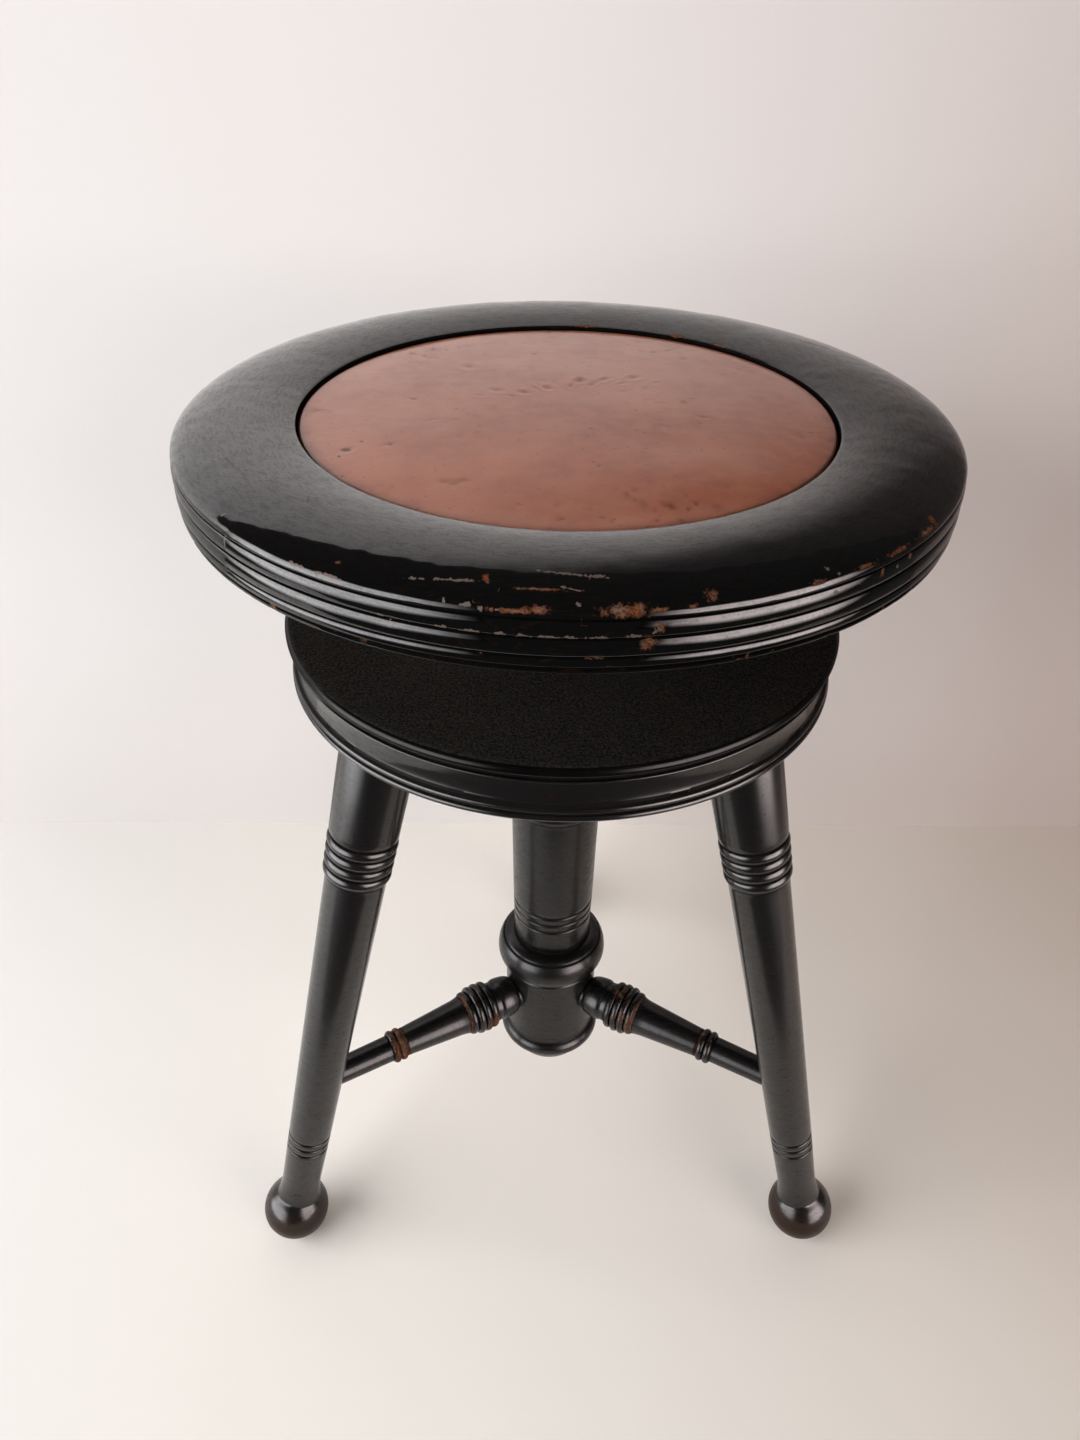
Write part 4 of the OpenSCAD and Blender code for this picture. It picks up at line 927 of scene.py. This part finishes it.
def old_metal(name, fresh, stained, metal, rough, grain):
    """Old metal: stained in patches, with rust in small spots and fine marks that run one way."""
    material, shader, w = begun(name)
    patches, spots, fine = w.noise(9 * mm, 4.0), w.noise(2.6 * mm, 3.0), w.noise(grain, 2.0)
    marks = w.noise(1.0, 2.0, w.at((0, 0, 0.6), (200, 2600, 2600)))
    rusty = (spots * 0.7 + patches * 0.5).step(0.66, 0.78)
    colour = patches.step(0.38, 0.66).paint(fresh, stained)
    colour = (rusty * 0.75).paint(colour, rust)
    bumped = (fine * 0.5 + rusty * 0.5 + marks * 0.2).bump(0.35, 0.2 * mm)
    plug(shader, Base_Color=colour, Metallic=metal * (1 - rusty * 0.9), Normal=bumped)
    plug(shader, Roughness=rough + patches * 0.2 + rusty * 0.25 + marks * 0.08)
    return material


japanned = old_metal("japanned iron", iron_black, iron_worn, metal=0.55, rough=0.46, grain=1.3 * mm)
wood_screw_steel = old_metal("wood screw steel", steel_grey, steel_dull, metal=0.95, rough=0.34,
                             grain=0.6 * mm)
dress(japanned, "screw_flange", "stop_collar", "threaded_nut")
dress(wood_screw_steel, "ring_screws", "pad_screws", "flange_screws", "nut_screws", "block_screws")
dress(wood_screw_steel, "hub_pin", "stop_pin")

# Seat screw
# A steel rod with a square-shouldered thread of 8 mm pitch, cut on the lathe, and a plain spigot at each
# end. The thread is greased, and dark in its roots.

rod_low, rod_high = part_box("seat_screw")
hub_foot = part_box("screw_flange")[0].z
stop_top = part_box("stop_collar")[1].z
thread_pitch, thread_depth, thread_r = 8 * mm, 2 * mm, 11 * mm
root_r = thread_r - thread_depth
hub_spigot_r, stop_spigot_r = 0.93 * root_r, 0.85 * root_r
thread_shares = [0, 0.34, 0.46, 0.88, 1]
rod_turns = 72
grease = (0.020, 0.016, 0.012, 1)
rod_z = np.r_[rod_low.z, np.linspace(rod_low.z, stop_top, 30), np.linspace(stop_top, hub_foot, 560),
              np.linspace(hub_foot, rod_high.z, 30), rod_high.z]
rod_a = np.linspace(0, 2 * np.pi, rod_turns, endpoint=False)
# Across one pitch the thread is root, rises, is crest, and falls back
phase = ((rod_z[:, None] - seat_z) / thread_pitch - rod_a[None, :] / (2 * np.pi)) % 1
crest = np.interp(phase, thread_shares, [0, 0, 1, 1, 0])
rod_r = root_r + thread_depth * crest
rod_r = np.where(rod_z[:, None] < stop_top, stop_spigot_r, rod_r)
rod_r = np.where(rod_z[:, None] > hub_foot, hub_spigot_r, rod_r)
rod_r[[0, -1]] = 0
rod = np.stack([rod_r * np.cos(rod_a), rod_r * np.sin(rod_a), rod_z[:, None] + 0 * rod_a], -1)
seat_screw = woven("seat_screw_threaded", on_axis(rod), crest=crest)
seat_screw.data.shade_flat()


def greased_steel(name):
    """Greased steel: bright on the crests of the thread, and black with old grease in its roots."""
    material, shader, w = begun(name)
    crest, patches, fine = w.mark("crest"), w.noise(7 * mm, 3.0), w.noise(0.5 * mm, 2.0)
    clean = (crest + patches * 0.4).step(0.8, 1.15)
    colour = clean.paint(grease, steel_grey)
    colour = (patches.step(0.6, 0.75) * 0.5).paint(colour, rust)
    plug(shader, Base_Color=colour, Metallic=0.2 + clean * 0.75, Roughness=0.5 - clean * 0.2 + fine * 0.1)
    plug(shader, Normal=fine.bump(0.2, 0.1 * mm))
    return material


made_of(seat_screw, greased_steel("greased steel"), "thread_steel", "seat", "seat_screw")

# Buffer washer
# A round of thick sole leather under the hub, rough cut and stained with oil.

washer_tan = (0.21, 0.115, 0.058, 1)
washer_oil = (0.055, 0.031, 0.018, 1)
washer_paint, washer_shader, w = begun("washer leather")
oiled, fibres = w.noise(8 * mm, 3.0), w.noise(0.9 * mm, 3.0)
plug(washer_shader, Base_Color=(oiled * 0.8 + fibres * 0.3).step(0.4, 0.7).paint(washer_tan, washer_oil))
plug(washer_shader, Roughness=0.65 + fibres * 0.2)
plug(washer_shader, Normal=fibres.bump(0.5, 0.3 * mm))
dress(washer_paint, "buffer_washer")

# Room
# A pale table top and the wall behind it, lit by a broad soft light from the left and a weaker one from the
# right. The wall lets what is behind it be seen from the back.

wall_y = 283 * mm
room_half, wall_height, room_front = 2.2, 0.975, 3.0
# The floor and wall colours are painted shade: darker at the left and right than in the middle, as if the
# lamps lit the sides less.
floor_left, floor_middle = (0.74, 0.725, 0.70, 1), (0.90, 0.860, 0.810, 1)
floor_right, floor_corner_shade = (0.72, 0.640, 0.570, 1), (0.50, 0.46, 0.42, 1)
wall_left, wall_middle = (0.76, 0.74, 0.74, 1), (0.87, 0.835, 0.83, 1)
wall_right, wall_foot_shade = (0.66, 0.575, 0.55, 1), (0.42, 0.39, 0.36, 1)
black = (0, 0, 0, 1)
table_edge, table_left, table_right = -0.33, -1.0, 0.8
table_fade, seam_fade = 0.02, 0.1
wall_glare = 0.6
room_tint, room_dark = (0.88, 0.85, 0.83, 1), 0.09
card_away, card_low, card_high = 1.6, -0.4, 1.2
core_share, card_foot_fade, card_top_fade = 0.35, 0.3, 0.4


def panel(name, left, right, way):
    """A flat stage panel that reaches from the line between two corners that way, and its paint."""
    mesh = bpy.data.meshes.new(name)
    corners = np.array([left, right, np.add(right, way), np.add(left, way)])
    mesh.from_pydata(corners.tolist(), [], [(0, 1, 2, 3)])
    flat = added(name, mesh)
    material, shader, w = begun(name + " paint")
    plug(shader, Roughness=0.75)
    flat.data.materials.append(material)
    return material, shader, w


def cleared(w, shader, clear):
    """Lets a panel be seen through where clear is 1."""
    solid, nothing = Wire(w.tree, shader.outputs[0]), w.node("BsdfTransparent")
    shown = w.node("MixShader", None, {0: clear, 1: solid, 2: nothing})
    feed(w.tree.nodes["Material Output"].inputs[0], shown)


def shaded_across(across, left, middle, right):
    """Three colours that run into each other from left to right: painted shade that makes the floor and the
    wall darker towards both sides than in the middle.
    """
    return across.step(0.0, 0.6).paint(across.step(-0.5, -0.05).paint(left, middle), right)


# Past the table's edge the polish mirrors the lights behind it, though the camera sees the table run on.
_, floor_shader, w = panel("floor", (-room_half, -room_front, 0), (room_half, -room_front, 0),
                           (0, 2 * room_front, 0))
seen = w.node("LightPath", out=0)
across, deep = w.axis(0), w.axis(1)
floor_tint = shaded_across(across, floor_left, floor_middle, floor_right)
# Painted shade: the floor is coloured darker towards the foot of the wall.
plug(floor_shader, Base_Color=(deep.step(0.0, wall_y) * 0.12).paint(floor_tint, floor_corner_shade))
table = deep.step(table_edge - table_fade, table_edge + table_fade)
table = table * across.step(table_left - seam_fade, table_left + seam_fade)
table = table * across.step(table_right + seam_fade, table_right - seam_fade)
cleared(w, floor_shader, 1 - table.larger(seen))

_, wall_shader, w = panel("wall", (-room_half, wall_y, 0), (room_half, wall_y, 0), (0, 0, wall_height))
mirrored = w.node("LightPath", out=3)
across, high = w.axis(0), w.axis(2)
wall_tint = shaded_across(across, wall_left, wall_middle, wall_right)
# Painted shade: the wall is coloured darker near its foot, where it meets the floor.
wall_tint = (high.step(0.32, 0.0) * 0.25).paint(wall_tint, wall_foot_shade)
# The polish sees the wall darker high up towards the right and at its foot, and its left side glows
dim = ((high + across * 0.9).step(0.72, 1.05) * 0.85).larger(high.step(0.5, 0.3) * 0.55)
wall_tint = (mirrored * dim).paint(wall_tint, black)
glare = (mirrored * across.step(0.35, -0.55) * high.step(0.4, 0.55)).paint(black, wall_tint)
plug(wall_shader, Base_Color=wall_tint, Emission_Color=glare, Emission_Strength=wall_glare)
cleared(w, wall_shader, w.node("NewGeometry", out=6))


def card(name, bearing, half_w, glow, colour):
    """The bright face of a light as the polish mirrors it: an upright panel in that direction, fading at
    its edges. Only mirrored rays see it."""
    a = np.radians(bearing)
    middle, along = np.array([np.cos(a), np.sin(a)]) * card_away, np.array([-np.sin(a), np.cos(a)])
    left, right = (*(middle - along * half_w), card_low), (*(middle + along * half_w), card_low)
    material, shader, w = panel(name, left, right, (0, 0, card_high - card_low))
    material.cycles.emission_sampling = "NONE"
    slide = w.math("ABSOLUTE", w.vectors("DOT_PRODUCT", w.at(), (*along, 0), out=1))
    height = w.axis(2)
    bright = slide.step(half_w, half_w * core_share)
    bright = bright * height.step(card_low, card_low + card_foot_fade)
    bright = bright * height.step(card_high, card_high - card_top_fade)
    plug(shader, Base_Color=black, Emission_Color=bright.paint(black, colour), Emission_Strength=glow)
    plug(shader, Specular_IOR_Level=0)
    cleared(w, shader, 1 - w.node("LightPath", out=3))


card("left card", bearing=-153, half_w=1.45, glow=7.5, colour=(1.0, 0.985, 1.0, 1))
card("right card", bearing=-41, half_w=1.0, glow=9.5, colour=(1.0, 0.87, 0.86, 1))


def soft_light(name, place, aim, wide, high, glow, colour):
    """A broad lamp at a place, turned to face the aim, with its sides level. Its power is the glow of its
    face times its area and pi. Neither the camera nor the polish sees it."""
    data = bpy.data.lights.new(name, "AREA")
    data.shape = "RECTANGLE"
    data.size, data.size_y, data.energy, data.color = wide, high, glow * wide * high * np.pi, colour
    lamp = added(name, data)
    lamp.location = place
    way = np.array(aim) - np.array(place)
    lamp.rotation_euler = np.arctan2(np.hypot(way[0], way[1]), -way[2]), 0, np.arctan2(-way[0], way[1])
    lamp.visible_camera = False
    lamp.visible_glossy = False


soft_light("left light", place=(-1.65, -0.75, 0.95), aim=(0, -0.2, 0.45), wide=2.4, high=1.2, glow=7.0,
           colour=(1.0, 1.0, 1.0))
soft_light("right light", place=(1.35, -1.45, 0.95), aim=(0, 0, 0.45), wide=1.5, high=0.9, glow=3.4,
           colour=(1.0, 0.90, 0.84))
world = bpy.data.worlds.new("room light")
world.use_nodes = True
sky = Wire(world.node_tree)
seen = sky.node("LightPath", out=0)
backdrop = world.node_tree.nodes["Background"]
feed(backdrop.inputs[0], room_tint)
feed(backdrop.inputs[1], seen * (1 - room_dark) + room_dark)
bpy.context.scene.world = world
bpy.context.scene.view_settings.view_transform = "Standard"

# Camera
# It stands in front, a little to the left, and looks down on the seat.

camera_place = (-19.1 * mm, -504.9 * mm, 713.3 * mm)
camera_heading, camera_pitch, camera_roll = 1.051, 36.656, 1.033
focal_px, frame_px = 1081.0, 1440
camera_data = bpy.data.cameras.new("camera")
camera_data.sensor_width = 36
camera_data.lens = focal_px * camera_data.sensor_width / frame_px
camera = added("camera", camera_data)
camera.location = camera_place
camera.rotation_mode = "XYZ"
# It is rolled about its own axis, tipped up from looking straight down, and turned to its heading
roll, tip, heading = np.radians([camera_roll, 90 - camera_pitch, -camera_heading])
aimed = Matrix.Rotation(heading, 3, "Z") @ Matrix.Rotation(tip, 3, "X") @ Matrix.Rotation(roll, 3, "Z")
camera.rotation_euler = aimed.to_euler()
bpy.context.scene.camera = camera
